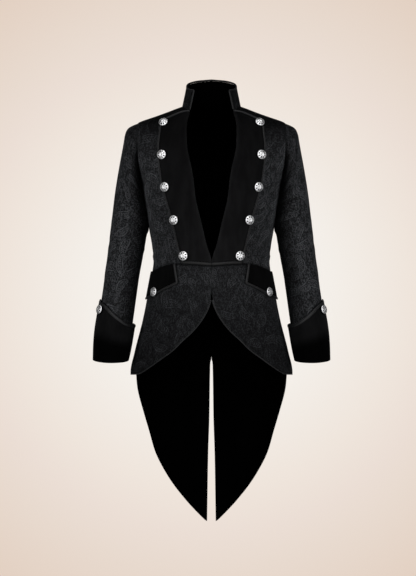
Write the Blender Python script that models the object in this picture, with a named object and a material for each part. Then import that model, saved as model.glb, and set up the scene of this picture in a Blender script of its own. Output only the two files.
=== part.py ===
# Tailcoat: a worn coat with no wearer, built as hollow cloth walls.
# Metres, +Z up, the front faces -Y. The origin is midway between the two side neck points,
# where the coat rests on the shoulders. The wearer's left is at +X.

from collections import namedtuple

import bpy
import bmesh
import numpy as np
from mathutils import Vector

# Cloth and seams
CLOTH = 0.0020
LINING = 0.0010
SEAM_GAP = 0.0003
LAYER_GAP = 0.0003
COLLAR_LIFT = 0.0006
FLAP_GAP = 0.0009
VELVET = 0.0020
CUFF_CLOTH = 0.0025
FLAP_CLOTH = 0.0025

# Piping cords
COLLAR_CORD = 0.0020
PLASTRON_CORD = 0.0022
SKIRT_CORD = 0.0015
FLAP_CORD = 0.0018
CUFF_CORD = 0.0026
COLLAR_CORD_DEPTH = 0.0015
CORD_RESOLUTION = 1

# A cord turns a sharp corner in a small bow, a few radii long
CORD_BOW = 1.4
SHARP_TURN = 0.85
BOW_SHARE = 0.4

# Edges that stay crisp, in degrees, and the small steps that find a surface's normal
CLOTH_CREASE = 40
BUTTON_CREASE = 50
ANGLE_STEP = 0.2
PLACE_STEP = 0.0005

# Grids, in cells
PLASTRON_COLUMNS = 4
SIDE_COLUMNS = 6
LOW_ROWS = 6
ARM_ROWS = 6
TOP_ROWS = 3
BACK_COLUMNS = 6
SKIRT_ROWS = 8
TAIL_COLUMNS = 6
SEAM_ROWS = 4
EDGE_ROWS = 8
SLEEVE_COLUMNS = 18
CUFF_ROWS = 4
COLLAR_COLUMNS = 20
COLLAR_ROWS = 4
FLAP_ROWS = 3

# The side seam, in degrees round from the front centre, at the waist and below
SIDE_SEAM = 104.0
UNDERARM = -0.190
SHOULDER_SEAM = 90.0
SHOULDER_TIP = -0.0465
SEAM_SHARE = 0.48
ARMHOLE_MIDDLE = (SHOULDER_TIP + UNDERARM) / 2
ARMHOLE_REACH = (SHOULDER_TIP - UNDERARM) / 2

# Level sections of the body: half width, depth before and behind the side line, and squareness
Ring = namedtuple("Ring", "height half_width front back square")
BODY_RINGS = [
    Ring(-1.160, 0.1860, 0.120, 0.119, 2.20),
    Ring(-0.950, 0.2010, 0.125, 0.130, 2.20),
    Ring(-0.800, 0.2120, 0.128, 0.136, 2.20),
    Ring(-0.720, 0.2175, 0.129, 0.138, 2.20),
    Ring(-0.660, 0.2040, 0.127, 0.136, 2.20),
    Ring(-0.600, 0.1895, 0.125, 0.131, 2.20),
    Ring(-0.550, 0.1795, 0.123, 0.124, 2.20),
    Ring(-0.500, 0.1710, 0.121, 0.115, 2.20),
    Ring(-0.460, 0.1635, 0.119, 0.107, 2.20),
    Ring(-0.420, 0.1565, 0.117, 0.101, 2.20),
    Ring(-0.380, 0.1600, 0.118, 0.101, 2.20),
    Ring(-0.330, 0.1685, 0.121, 0.106, 2.25),
    Ring(-0.255, 0.1810, 0.124, 0.117, 2.30),
    Ring(-0.190, 0.1940, 0.125, 0.124, 2.40),
    Ring(-0.155, 0.2050, 0.123, 0.126, 2.40),
    Ring(-0.120, 0.2130, 0.117, 0.125, 2.40),
    Ring(-0.090, 0.2145, 0.112, 0.120, 2.35),
    Ring(-0.060, 0.2125, 0.104, 0.111, 2.30),
    Ring(-0.0465, 0.2000, 0.099, 0.105, 2.20),
    Ring(-0.042, 0.1900, 0.097, 0.102, 2.20),
    Ring(-0.031, 0.1580, 0.091, 0.096, 2.15),
    Ring(-0.020, 0.1280, 0.083, 0.088, 2.05),
    Ring(-0.0095, 0.1010, 0.075, 0.080, 2.00),
    Ring(0.000, 0.0780, 0.066, 0.072, 2.00),
    Ring(0.022, 0.0640, 0.050, 0.063, 2.00),
    Ring(0.030, 0.0600, 0.046, 0.060, 2.00),
]

# Soft folds of the tails and skirts: ridges that stand out from the body, fading at both ends
Fold = namedtuple("Fold", "angle height half_angle half_height depth")
BODY_FOLDS = [
    Fold(128.0, -0.86, 7.0, 0.15, 0.0060),
    Fold(147.0, -0.94, 6.0, 0.17, -0.0045),
    Fold(163.0, -0.98, 6.0, 0.20, 0.0050),
    Fold(84.0, -0.66, 7.0, 0.07, 0.0030),
    Fold(112.0, -0.62, 6.0, 0.09, 0.0040),
]

# Creases of a sleeve, by the angle round it and the distance down it
SLEEVE_FOLDS = [
    Fold(150.0, 0.230, 40.0, 0.016, 0.0035),
    Fold(165.0, 0.285, 38.0, 0.014, -0.0030),
    Fold(120.0, 0.325, 45.0, 0.018, 0.0030),
    Fold(40.0, 0.400, 40.0, 0.022, 0.0025),
    Fold(250.0, 0.300, 45.0, 0.022, 0.0030),
]

# Edges of the front pieces as seen from the front: height and distance from the centre line
Edge = namedtuple("Edge", "height across")
OPENING_EDGE = [
    Edge(-0.4320, 0.0000),
    Edge(-0.4275, 0.0000),
    Edge(-0.4130, 0.0026),
    Edge(-0.3710, 0.0144),
    Edge(-0.3120, 0.0283),
    Edge(-0.2545, 0.0420),
    Edge(-0.2070, 0.0475),
    Edge(-0.1730, 0.0530),
    Edge(-0.1390, 0.0610),
    Edge(-0.1095, 0.0650),
    Edge(-0.0715, 0.0655),
    Edge(-0.0490, 0.0633),
    Edge(-0.0245, 0.0578),
    Edge(-0.0163, 0.0604),
]
PLASTRON_EDGE = [
    Edge(-0.4275, 0.0735),
    Edge(-0.4060, 0.0797),
    Edge(-0.3530, 0.0922),
    Edge(-0.2875, 0.1083),
    Edge(-0.2320, 0.1238),
    Edge(-0.1795, 0.1334),
    Edge(-0.1480, 0.1366),
    Edge(-0.1210, 0.1375),
    Edge(-0.0780, 0.1337),
    Edge(-0.0525, 0.1316),
]
PLASTRON_TOP = [
    Edge(-0.0245, 0.0578),
    Edge(-0.0262, 0.0760),
    Edge(-0.0347, 0.0968),
    Edge(-0.0441, 0.1164),
    Edge(-0.0525, 0.1316),
]
CUTAWAY_EDGE = [
    Edge(-0.4953, 0.0000),
    Edge(-0.5120, 0.0020),
    Edge(-0.5260, 0.0046),
    Edge(-0.5400, 0.0092),
    Edge(-0.5660, 0.0222),
    Edge(-0.6000, 0.0484),
    Edge(-0.6260, 0.0760),
    Edge(-0.6530, 0.1034),
    Edge(-0.6745, 0.1328),
    Edge(-0.6990, 0.1664),
    Edge(-0.7165, 0.1953),
]
ARMHOLE_EDGE = [
    Edge(-0.1900, 0.1940),
    Edge(-0.1550, 0.1960),
    Edge(-0.1155, 0.1975),
    Edge(-0.0465, 0.2000),
]
VENT_EDGE = [
    Edge(-1.1400, 0.0120),
    Edge(-0.9400, 0.0088),
    Edge(-0.8580, 0.0060),
    Edge(-0.7000, 0.0032),
    Edge(-0.6840, 0.0000),
    Edge(-0.4250, 0.0000),
]

# Lines round the body: angle from the front centre and height
Turn = namedtuple("Turn", "angle height")
WAIST = [
    Turn(0.0, -0.4320),
    Turn(35.0, -0.4275),
    Turn(50.0, -0.4280),
    Turn(78.0, -0.4445),
    Turn(104.0, -0.4460),
    Turn(140.0, -0.4340),
    Turn(180.0, -0.4250),
]
NECKLINE = [
    Turn(41.0, -0.0163),
    Turn(64.0, -0.0043),
    Turn(90.0, 0.0000),
    Turn(120.0, 0.0090),
    Turn(150.0, 0.0180),
    Turn(180.0, 0.0220),
]
COLLAR_TOP = [
    Turn(41.0, 0.0335),
    Turn(64.0, 0.0400),
    Turn(90.0, 0.0490),
    Turn(120.0, 0.0635),
    Turn(150.0, 0.0735),
    Turn(180.0, 0.0770),
]
SKIRT_HEM_CORNER = Turn(SIDE_SEAM, -0.7225)
TAIL_EDGE = [
    Turn(SIDE_SEAM, -0.7225),
    Turn(104.5, -0.7580),
    Turn(109.7, -0.8250),
    Turn(114.9, -0.8810),
    Turn(119.8, -0.9370),
    Turn(126.7, -0.9830),
    Turn(134.8, -1.0280),
    Turn(146.6, -1.0735),
    Turn(160.0, -1.1090),
    Turn(171.5, -1.1345),
]
TAIL_TIP = Turn(174.3, -1.1380)

# The line across the back where its rows turn to the shoulder, and the search for heights there
BACK_YOKE = -0.0350
BACK_YOKE_MIDDLE = Edge(-0.0480, 0.0850)
PLAN_FLOOR = -0.1200
PLAN_STEPS = 40

# The collar's upper rim
RIM_HALF_WIDTH = 0.0688
RIM_FRONT = 0.0740
RIM_BACK = 0.0640
RIM_SQUARE = 2.5

# Sections down a sleeve: its outer and inner points seen from the front, middle, half depth,
# and how far the section dips at its front
Section = namedtuple("Section", "along outer_x outer_z inner_x inner_z middle_y half_depth dip")
SLEEVE = [
    Section(0.000, 0.2000, -0.0465, 0.1940, -0.1900, 0.000, 0.0580, 0.000),
    Section(0.020, 0.2190, -0.0560, 0.1925, -0.1955, 0.000, 0.0600, 0.000),
    Section(0.040, 0.2317, -0.0627, 0.1885, -0.2015, 0.001, 0.0620, 0.000),
    Section(0.060, 0.2345, -0.0830, 0.1865, -0.2095, 0.002, 0.0635, 0.000),
    Section(0.090, 0.2405, -0.1175, 0.1840, -0.2235, 0.003, 0.0645, 0.000),
    Section(0.125, 0.2480, -0.1570, 0.1810, -0.2415, 0.004, 0.0645, 0.000),
    Section(0.165, 0.2550, -0.1970, 0.1765, -0.2635, 0.005, 0.0630, 0.000),
    Section(0.205, 0.2615, -0.2400, 0.1715, -0.2885, 0.005, 0.0610, 0.000),
    Section(0.255, 0.2680, -0.2950, 0.1668, -0.3245, 0.004, 0.0580, 0.000),
    Section(0.305, 0.2740, -0.3450, 0.1772, -0.3615, 0.002, 0.0565, 0.000),
    Section(0.355, 0.2800, -0.3980, 0.1850, -0.4065, -0.001, 0.0550, 0.000),
    Section(0.405, 0.2865, -0.4520, 0.1940, -0.4560, -0.005, 0.0530, 0.000),
    Section(0.455, 0.2935, -0.5030, 0.2010, -0.5060, -0.010, 0.0515, 0.000),
    Section(0.500, 0.3005, -0.5495, 0.2070, -0.5510, -0.014, 0.0500, 0.001),
    Section(0.560, 0.3095, -0.6120, 0.2150, -0.6100, -0.020, 0.0490, 0.003),
    Section(0.640, 0.3155, -0.6820, 0.2245, -0.6840, -0.027, 0.0480, 0.006),
]
SLEEVE_END = 0.640
SLEEVE_BLEND = 0.060

# The sleeve rests along the body's side: how near it comes and how softly it bends there
SLEEVE_REST = 0.0003
SLEEVE_REST_BEND = 0.0030

# The cuff: its top edge round the sleeve, and how far its outer face stands off the sleeve
Level = namedtuple("Level", "angle along")
CUFF_TOP = [
    Level(0.0, 0.4790),
    Level(45.0, 0.4900),
    Level(90.0, 0.5190),
    Level(135.0, 0.5400),
    Level(180.0, 0.5450),
]
Stand = namedtuple("Stand", "share distance")
CUFF_STAND = [
    Stand(0.00, 0.0030),
    Stand(0.30, 0.0055),
    Stand(0.65, 0.0070),
    Stand(1.00, 0.0078),
]

# Along its outer side the cuff's top edge lies closer to the sleeve
CUFF_CLOSER = 0.35
CUFF_CLOSER_HALF_ANGLE = 20.0

# The pocket flap's lower edge and its front corner at the waist
FLAP_FRONT_TOP = 46.6
FLAP_REAR = 100.0
FLAP_BELOW_WAIST = 0.0010
FLAP_EDGE = [
    Turn(42.5, -0.4745),
    Turn(57.4, -0.4920),
    Turn(67.8, -0.5060),
    Turn(80.0, -0.5130),
    Turn(90.0, -0.5150),
    Turn(100.0, -0.5080),
]

# Buttons: places on the plastron and the flap, then on the cuff
Place = namedtuple("Place", "height across")
FRONT_BUTTONS = [
    Place(-0.0545, 0.1262),
    Place(-0.1397, 0.1297),
    Place(-0.2240, 0.1215),
    Place(-0.3110, 0.0980),
    Place(-0.4055, 0.0731),
]
FLAP_BUTTON = Turn(66.5, -0.5010)
CUFF_BUTTON = Level(39.0, 0.4985)
BUTTON_SEAT = 0.0052
CUFF_BUTTON_SEAT = 0.0116
BUTTON_SIDES = 16
ButtonRing = namedtuple("ButtonRing", "radius height hole")
BUTTON_FACE = [
    ButtonRing(0.0022, 0.0052, 0.0000),
    ButtonRing(0.0048, 0.0051, 0.0000),
    ButtonRing(0.0082, 0.0043, 0.0020),
    ButtonRing(0.0112, 0.0028, 0.0000),
    ButtonRing(0.0124, 0.0012, 0.0000),
    ButtonRing(0.0118, 0.0000, 0.0000),
    ButtonRing(0.0020, 0.0000, 0.0000),
]
BUTTON_MIDDLE = 0.0044
SHANK_LENGTH = 0.0025
CUFF_SHANK_LENGTH = 0.0034


def smooth_value(rows, column, where):
    # Smooth value of one column of a table, without overshoot, along the table's first column.
    spots = np.array([row[0] for row in rows])
    values = np.array([getattr(row, column) for row in rows])
    steps = np.diff(spots)
    slopes = np.diff(values) / steps
    product = slopes[1:] * slopes[:-1]
    total = np.where(product > 0, slopes[1:] + slopes[:-1], 1.0)
    inner = np.where(product > 0, 2 * product / total, 0.0)
    tangents = np.concatenate([slopes[:1], inner, slopes[-1:]])
    where = np.clip(where, spots[0], spots[-1])
    cell = np.clip(np.searchsorted(spots, where) - 1, 0, len(spots) - 2)
    t = (where - spots[cell]) / steps[cell]
    start = (2 * t**3 - 3 * t**2 + 1) * values[cell]
    end = (3 * t**2 - 2 * t**3) * values[cell + 1]
    leave = (t**3 - 2 * t**2 + t) * steps[cell] * tangents[cell]
    arrive = (t**3 - t**2) * steps[cell] * tangents[cell + 1]
    return start + end + leave + arrive


def fold_depth(folds, angle, place):
    # Height of all soft folds at an angle and a place along the piece.
    total = np.zeros(np.broadcast(angle, place).shape)
    for fold in folds:
        across = (angle - fold.angle) / fold.half_angle
        along = (place - fold.height) / fold.half_height
        total = total + fold.depth * np.exp(-across**2 - along**2)
    return total


def oval_radius(angle, half_width, front, back, square):
    # Distance from the middle of an oval section to its outline, at an angle from the front.
    turn = np.radians(angle)
    depth = np.where(np.cos(turn) > 0, front, back)
    side_part = (np.abs(np.sin(turn)) / half_width) ** square
    depth_part = (np.abs(np.cos(turn)) / depth) ** square
    return (side_part + depth_part) ** (-1 / square)


def body_surface(angle, height):
    half_width = smooth_value(BODY_RINGS, "half_width", height)
    front = smooth_value(BODY_RINGS, "front", height)
    back = smooth_value(BODY_RINGS, "back", height)
    square = smooth_value(BODY_RINGS, "square", height)
    radius = oval_radius(angle, half_width, front, back, square)
    radius = radius + fold_depth(BODY_FOLDS, angle, height)
    turn = np.radians(angle)
    return np.stack([radius * np.sin(turn), -radius * np.cos(turn), height + 0 * angle], axis=-1)


def collar_surface(angle, share):
    # The collar from the neckline, share 0, to its upper rim, share 1.
    base = body_surface(angle, smooth_value(NECKLINE, "height", angle))
    turn = np.radians(angle)
    radius = oval_radius(angle, RIM_HALF_WIDTH, RIM_FRONT, RIM_BACK, RIM_SQUARE)
    top_height = smooth_value(COLLAR_TOP, "height", angle)
    rim = np.stack([radius * np.sin(turn), -radius * np.cos(turn), top_height], axis=-1)
    share = np.expand_dims(share, -1)
    return base + (rim - base) * share


def armhole_line(angle):
    # The armhole seam: 0 at the shoulder tip, 90 at the front, 180 under the arm.
    turn = np.radians(angle)
    height = ARMHOLE_MIDDLE + ARMHOLE_REACH * np.cos(turn)
    across = smooth_value(ARMHOLE_EDGE, "across", height)
    return body_angle(across, height, np.sin(turn) < 0), height


def body_angle(across, height, behind=False):
    # Angle on the body of a point seen at a distance from the centre line.
    half_width = smooth_value(BODY_RINGS, "half_width", height)
    square = smooth_value(BODY_RINGS, "square", height)
    front = smooth_value(BODY_RINGS, "front", height)
    back = smooth_value(BODY_RINGS, "back", height)
    inside = np.clip(1 - (np.abs(across) / half_width) ** square, 0, 1)
    depth = inside ** (1 / square)
    y = np.where(behind, depth * back, -depth * front)
    return np.degrees(np.arctan2(across, -y))


def body_side(y, height):
    # Distance of the body's side from the centre line, at a depth and a height.
    half_width = smooth_value(BODY_RINGS, "half_width", height)
    square = smooth_value(BODY_RINGS, "square", height)
    front = smooth_value(BODY_RINGS, "front", height)
    back = smooth_value(BODY_RINGS, "back", height)
    inside = np.clip(1 - (np.abs(y) / np.where(y < 0, front, back)) ** square, 0, 1)
    return half_width * inside ** (1 / square)


def sleeve_surface(angle, along):
    outer_x = smooth_value(SLEEVE, "outer_x", along)
    outer_z = smooth_value(SLEEVE, "outer_z", along)
    inner_x = smooth_value(SLEEVE, "inner_x", along)
    inner_z = smooth_value(SLEEVE, "inner_z", along)
    middle_y = smooth_value(SLEEVE, "middle_y", along)
    half_depth = smooth_value(SLEEVE, "half_depth", along)
    dip = smooth_value(SLEEVE, "dip", along)
    turn = np.radians(angle)
    crease = fold_depth(SLEEVE_FOLDS, np.mod(angle, 360.0), along)
    grow = 1 + crease / half_depth
    x = (outer_x + inner_x) / 2 + np.cos(turn) * grow * (outer_x - inner_x) / 2
    z = (outer_z + inner_z) / 2 + np.cos(turn) * grow * (outer_z - inner_z) / 2 - dip * np.sin(turn)
    y = middle_y - np.sin(turn) * grow * half_depth
    side = body_side(y, z) + SLEEVE_REST
    x = (x + side + np.sqrt((x - side) ** 2 + SLEEVE_REST_BEND**2)) / 2
    oval = np.stack([x, y, z], axis=-1)
    seam = body_surface(*armhole_line(angle))
    blend = np.clip(along / SLEEVE_BLEND, 0, 1)
    blend = np.expand_dims(blend * blend * (3 - 2 * blend), -1)
    return seam * (1 - blend) + oval * blend + np.array([SEAM_GAP / 2, 0, 0])


def moved_out(surface, first, second, distance):
    # Points of a surface, moved along its outward normal.
    across = surface(first + ANGLE_STEP, second) - surface(first - ANGLE_STEP, second)
    along = surface(first, second + PLACE_STEP) - surface(first, second - PLACE_STEP)
    normal = np.cross(across, along)
    normal = normal / np.linalg.norm(normal, axis=-1, keepdims=True)
    return surface(first, second) + normal * np.expand_dims(distance + 0 * first, -1)


def fill_patch(bottom, top, left, right):
    # A grid between four edges that share their corners: rows from bottom to top.
    columns = len(bottom)
    rows = len(left)
    u = np.linspace(0, 1, columns)[None, :, None]
    v = np.linspace(0, 1, rows)[:, None, None]
    between_rows = bottom[None] * (1 - v) + top[None] * v
    between_columns = left[:, None] * (1 - u) + right[:, None] * u
    corners = (bottom[0] * (1 - u) + bottom[-1] * u) * (1 - v)
    corners = corners + (top[0] * (1 - u) + top[-1] * u) * v
    return between_rows + between_columns - corners


def body_height(x, y):
    # Angle and height on the shoulders over a place in plan, the height found by halving.
    angle = np.degrees(np.arctan2(x, -y))
    reach = np.hypot(x, y)
    low = np.full(np.shape(x), PLAN_FLOOR)
    high = np.full(np.shape(x), BODY_RINGS[-1].height)
    for _ in range(PLAN_STEPS):
        middle = (low + high) / 2
        outside = np.hypot(*np.moveaxis(body_surface(angle, middle)[..., :2], -1, 0)) > reach
        low = np.where(outside, middle, low)
        high = np.where(outside, high, middle)
    return angle, (low + high) / 2


def fill_seen(edges, behind=False):
    # A grid on the body, even as seen from the front or the back.
    flat = fill_patch(*[body_surface(edge[:, 0], edge[:, 1])[:, ::2] for edge in edges])
    angle = body_angle(flat[..., 0], flat[..., 1], behind)
    return with_edges(line_points(angle, flat[..., 1]), edges)


def fill_plan(edges):
    # A grid on the shoulders, even as seen from above.
    flat = fill_patch(*[body_surface(edge[:, 0], edge[:, 1])[:, :2] for edge in edges])
    return with_edges(line_points(*body_height(flat[..., 0], flat[..., 1])), edges)


def with_edges(grid, edges):
    # Puts the exact border lines back on a grid.
    grid[0], grid[-1], grid[:, 0], grid[:, -1] = edges
    return grid


def line_points(*columns):
    return np.stack(np.broadcast_arrays(*columns), axis=-1).astype(float)


def straight(start, end, cells):
    return np.linspace(np.array(start, float), np.array(end, float), cells + 1)


def edge_line(rows, heights, behind=False):
    # A front or back edge at the given heights, as angles and heights.
    across = smooth_value(rows, "across", heights)
    return line_points(body_angle(across, heights, behind), heights)


def spread(points, cells):
    # A line through the given points, in equal steps of its length on the body.
    points = np.array(points, float)
    places = body_surface(points[:, 0], points[:, 1])
    lengths = np.concatenate([[0], np.cumsum(np.linalg.norm(np.diff(places, axis=0), axis=1))])
    wanted = np.linspace(0, lengths[-1], cells + 1)
    return line_points(np.interp(wanted, lengths, points[:, 0]), np.interp(wanted, lengths, points[:, 1]))


def waist_line(angles):
    return line_points(angles, smooth_value(WAIST, "height", angles))


def neck_line(angles):
    return line_points(angles, smooth_value(NECKLINE, "height", angles))


def front_grid():
    # Angles and heights of a front: opening edge to plastron edge, then to side and armhole.
    low_heights = np.linspace(OPENING_EDGE[0].height, UNDERARM, LOW_ROWS + 1)
    arm_heights = np.linspace(UNDERARM, PLASTRON_TOP[0].height, ARM_ROWS + 1)
    low_opening = edge_line(OPENING_EDGE, low_heights)
    arm_opening = edge_line(OPENING_EDGE, arm_heights)
    low_outer = edge_line(PLASTRON_EDGE, np.linspace(PLASTRON_EDGE[0].height, UNDERARM, LOW_ROWS + 1))
    arm_outer = edge_line(PLASTRON_EDGE, np.linspace(UNDERARM, PLASTRON_EDGE[-1].height, ARM_ROWS + 1))
    side = side_line()
    arm = line_points(*armhole_line(np.linspace(180, 0, ARM_ROWS + TOP_ROWS + 1)))
    arm[0] = side[-1]

    waist_inner = waist_line(np.linspace(0, low_outer[0, 0], PLASTRON_COLUMNS + 1))
    waist_outer = waist_line(np.linspace(low_outer[0, 0], SIDE_SEAM, SIDE_COLUMNS + 1))
    low_opening[0] = waist_inner[0]
    low_outer[0] = waist_inner[-1]
    chest_inner = straight(low_opening[-1], low_outer[-1], PLASTRON_COLUMNS)
    chest_outer = straight(low_outer[-1], side[-1], SIDE_COLUMNS)
    top_edge = [(body_angle(edge.across, edge.height), edge.height) for edge in PLASTRON_TOP]
    top_inner = spread(top_edge, PLASTRON_COLUMNS)
    top_outer = seen_line(top_inner[-1], arm[ARM_ROWS], SIDE_COLUMNS)
    arm_opening[-1] = top_inner[0]
    arm_outer[-1] = top_inner[-1]

    neck = neck_line(np.array([NECKLINE[0].angle, NECKLINE[1].angle, SHOULDER_SEAM]))
    seam_middle = (SHOULDER_SEAM, SHOULDER_TIP * SEAM_SHARE)
    seam_inner = straight(neck[-1], seam_middle, PLASTRON_COLUMNS - len(neck) + 1)
    seam_outer = straight(seam_middle, (SHOULDER_SEAM, SHOULDER_TIP), SIDE_COLUMNS)
    top_opening = straight(top_inner[0], neck[0], TOP_ROWS)
    rise = plan_line(top_inner[-1], seam_middle, TOP_ROWS)

    rows = [
        (fill_patch(waist_inner, chest_inner, low_opening, low_outer),
         fill_patch(waist_outer, chest_outer, low_outer, side)),
        (fill_seen((chest_inner, top_inner, arm_opening, arm_outer)),
         fill_seen((chest_outer, top_outer, arm_outer, arm[:ARM_ROWS + 1]))),
        (fill_plan((top_inner, np.concatenate([neck, seam_inner[1:]]), top_opening, rise)),
         fill_plan((top_outer, seam_outer, rise, arm[ARM_ROWS:]))),
    ]
    return stacked([np.concatenate([inner, outer[:, 1:]], axis=1) for inner, outer in rows])


def side_line():
    # The side seam from the waist to the underarm.
    start = waist_line(np.array([SIDE_SEAM]))[0]
    return straight(start, (SHOULDER_SEAM, UNDERARM), LOW_ROWS)


def seen_line(start, end, cells, behind=False):
    # A line that is straight as seen from the front or the back.
    places = body_surface(np.array([start[0], end[0]]), np.array([start[1], end[1]]))[:, ::2]
    line = straight(places[0], places[1], cells)
    line = line_points(body_angle(line[:, 0], line[:, 1], behind), line[:, 1])
    line[0], line[-1] = start, end
    return line


def plan_line(start, end, cells):
    # A line that is straight as seen from above.
    places = body_surface(np.array([start[0], end[0]]), np.array([start[1], end[1]]))[:, :2]
    line = straight(places[0], places[1], cells)
    line = line_points(*body_height(line[:, 0], line[:, 1]))
    line[0], line[-1] = start, end
    return line


def stacked(blocks):
    # Blocks of rows that share their border rows, as one grid.
    return np.concatenate(blocks[:1] + [block[1:] for block in blocks[1:]])


def back_grid():
    seam_cells = BACK_COLUMNS // 2
    neck_cells = BACK_COLUMNS - seam_cells
    side = side_line()
    arm = line_points(*armhole_line(np.linspace(180, 360, ARM_ROWS + TOP_ROWS + 1)))
    arm[0] = side[-1]
    arm[-1] = (SHOULDER_SEAM, SHOULDER_TIP)
    waist = waist_line(np.linspace(SIDE_SEAM, 180, BACK_COLUMNS + 1))
    chest = straight(side[-1], (180, UNDERARM), BACK_COLUMNS)
    middle_across, middle_height = BACK_YOKE_MIDDLE.across, BACK_YOKE_MIDDLE.height
    yoke_middle = (body_angle(middle_across, middle_height, True), middle_height)
    yoke = np.concatenate([
        seen_line(arm[ARM_ROWS], yoke_middle, seam_cells, True),
        seen_line(yoke_middle, (180, BACK_YOKE), neck_cells, True)[1:],
    ])
    seam = straight((SHOULDER_SEAM, SHOULDER_TIP), (SHOULDER_SEAM, 0), seam_cells)
    neck = neck_line(np.linspace(SHOULDER_SEAM, 180, neck_cells + 1))
    top = np.concatenate([seam, neck[1:]])
    low_centre = straight(waist[-1], chest[-1], LOW_ROWS)
    arm_centre = straight(chest[-1], yoke[-1], ARM_ROWS)
    top_centre = straight(yoke[-1], top[-1], TOP_ROWS)
    return stacked([
        fill_patch(waist, chest, side, low_centre),
        fill_seen((chest, yoke, arm[:ARM_ROWS + 1], arm_centre), True),
        fill_plan((yoke, top, arm[ARM_ROWS:], top_centre)),
    ])


def skirt_grid(front):
    # Rows from the hem up to the waist seam, whose points are the front's own.
    waist = front[0]
    hem = [(body_angle(edge.across, edge.height), edge.height) for edge in CUTAWAY_EDGE]
    hem = spread(hem + [SKIRT_HEM_CORNER], PLASTRON_COLUMNS + SIDE_COLUMNS)
    closing = straight(hem[0], waist[0], SKIRT_ROWS)
    seam = straight(hem[-1], waist[-1], SKIRT_ROWS)
    return fill_patch(hem, waist, closing, seam)


def tail_grid(back):
    waist = back[0]
    seam = straight(SKIRT_HEM_CORNER, waist[0], SEAM_ROWS)
    edge = spread(TAIL_EDGE, EDGE_ROWS)[::-1]
    outer = np.concatenate([edge, seam[1:]])
    rows = EDGE_ROWS + SEAM_ROWS
    heights = np.linspace(TAIL_TIP.height, waist[-1, 1], rows + 1)
    inner = edge_line(VENT_EDGE, heights, behind=True)
    tip = straight(edge[0], inner[0], TAIL_COLUMNS)
    return fill_patch(tip, waist, outer, inner)


def trimmed(points):
    # Pulls the border points inwards, so that half of the seam gap opens on each side.
    pull = SEAM_GAP / 2
    result = points.copy()
    for border, inside in ((0, 1), (-1, -2)):
        step = points[inside] - points[border]
        length = np.linalg.norm(step, axis=-1, keepdims=True)
        result[border] = result[border] + step / length * pull
        step = points[:, inside] - points[:, border]
        length = np.linalg.norm(step, axis=-1, keepdims=True)
        result[:, border] = result[:, border] + step / length * pull
    return result


def clear_scene():
    for item in list(bpy.data.objects):
        bpy.data.objects.remove(item, do_unlink=True)


def make_material(name, colour, roughness, metallic):
    material = bpy.data.materials.new(name)
    material.use_nodes = True
    shader = material.node_tree.nodes["Principled BSDF"]
    shader.inputs["Base Color"].default_value = (*colour, 1.0)
    shader.inputs["Roughness"].default_value = roughness
    shader.inputs["Metallic"].default_value = metallic
    return material


def link(item, collection, material):
    item.data.materials.append(material)
    collection.objects.link(item)
    return item


def add_wall(name, outer, inner, around, collection, material, mirrored=False):
    # A closed cloth wall, lofted between an outer and an inner grid of the same size.
    rows, columns = outer.shape[:2]
    flip = np.array([-1.0, 1.0, 1.0]) if mirrored else np.ones(3)
    shape = bmesh.new()
    outer_points = [[shape.verts.new(outer[i, j] * flip) for j in range(columns)] for i in range(rows)]
    inner_points = [[shape.verts.new(inner[i, j] * flip) for j in range(columns)] for i in range(rows)]
    cells = columns if around else columns - 1
    for i in range(rows - 1):
        for j in range(cells):
            k = (j + 1) % columns
            for layer in (outer_points, inner_points):
                # Both layers keep the same first corner, so that their triangles are parallel.
                first, second, third, fourth = (layer[i][j], layer[i][k], layer[i + 1][k], layer[i + 1][j])
                outwards_facing = layer is outer_points
                order = (first, second, third, fourth) if outwards_facing else (first, fourth, third, second)
                shape.faces.new(order)
    for i in (0, rows - 1):
        for j in range(cells):
            k = (j + 1) % columns
            corners = (outer_points[i][j], inner_points[i][j], inner_points[i][k], outer_points[i][k])
            shape.faces.new(corners if i == 0 else corners[::-1])
    if not around:
        for j in (0, columns - 1):
            for i in range(rows - 1):
                corners = (outer_points[i][j], outer_points[i + 1][j],
                           inner_points[i + 1][j], inner_points[i][j])
                shape.faces.new(corners if j == 0 else corners[::-1])
    if shape.calc_volume(signed=True) < 0:
        bmesh.ops.reverse_faces(shape, faces=shape.faces[:])
    mesh = bpy.data.meshes.new(name)
    shape.to_mesh(mesh)
    shape.free()
    mesh.shade_smooth()
    mesh.set_sharp_from_angle(angle=np.radians(CLOTH_CREASE))
    return link(bpy.data.objects.new(name, mesh), collection, material)


def add_cord(name, points, radius, collection, material, mirrored=False, closed=False):
    curve = bpy.data.curves.new(name, "CURVE")
    curve.dimensions = "3D"
    curve.bevel_depth = radius
    curve.bevel_resolution = CORD_RESOLUTION
    curve.use_fill_caps = not closed
    spline = curve.splines.new("POLY")
    spline.points.add(len(points) - 1)
    spline.use_cyclic_u = closed
    for spot, place in zip(spline.points, points):
        x = -place[0] if mirrored else place[0]
        spot.co = (x, place[1], place[2], 1.0)
    return link(bpy.data.objects.new(name, curve), collection, material)


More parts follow.
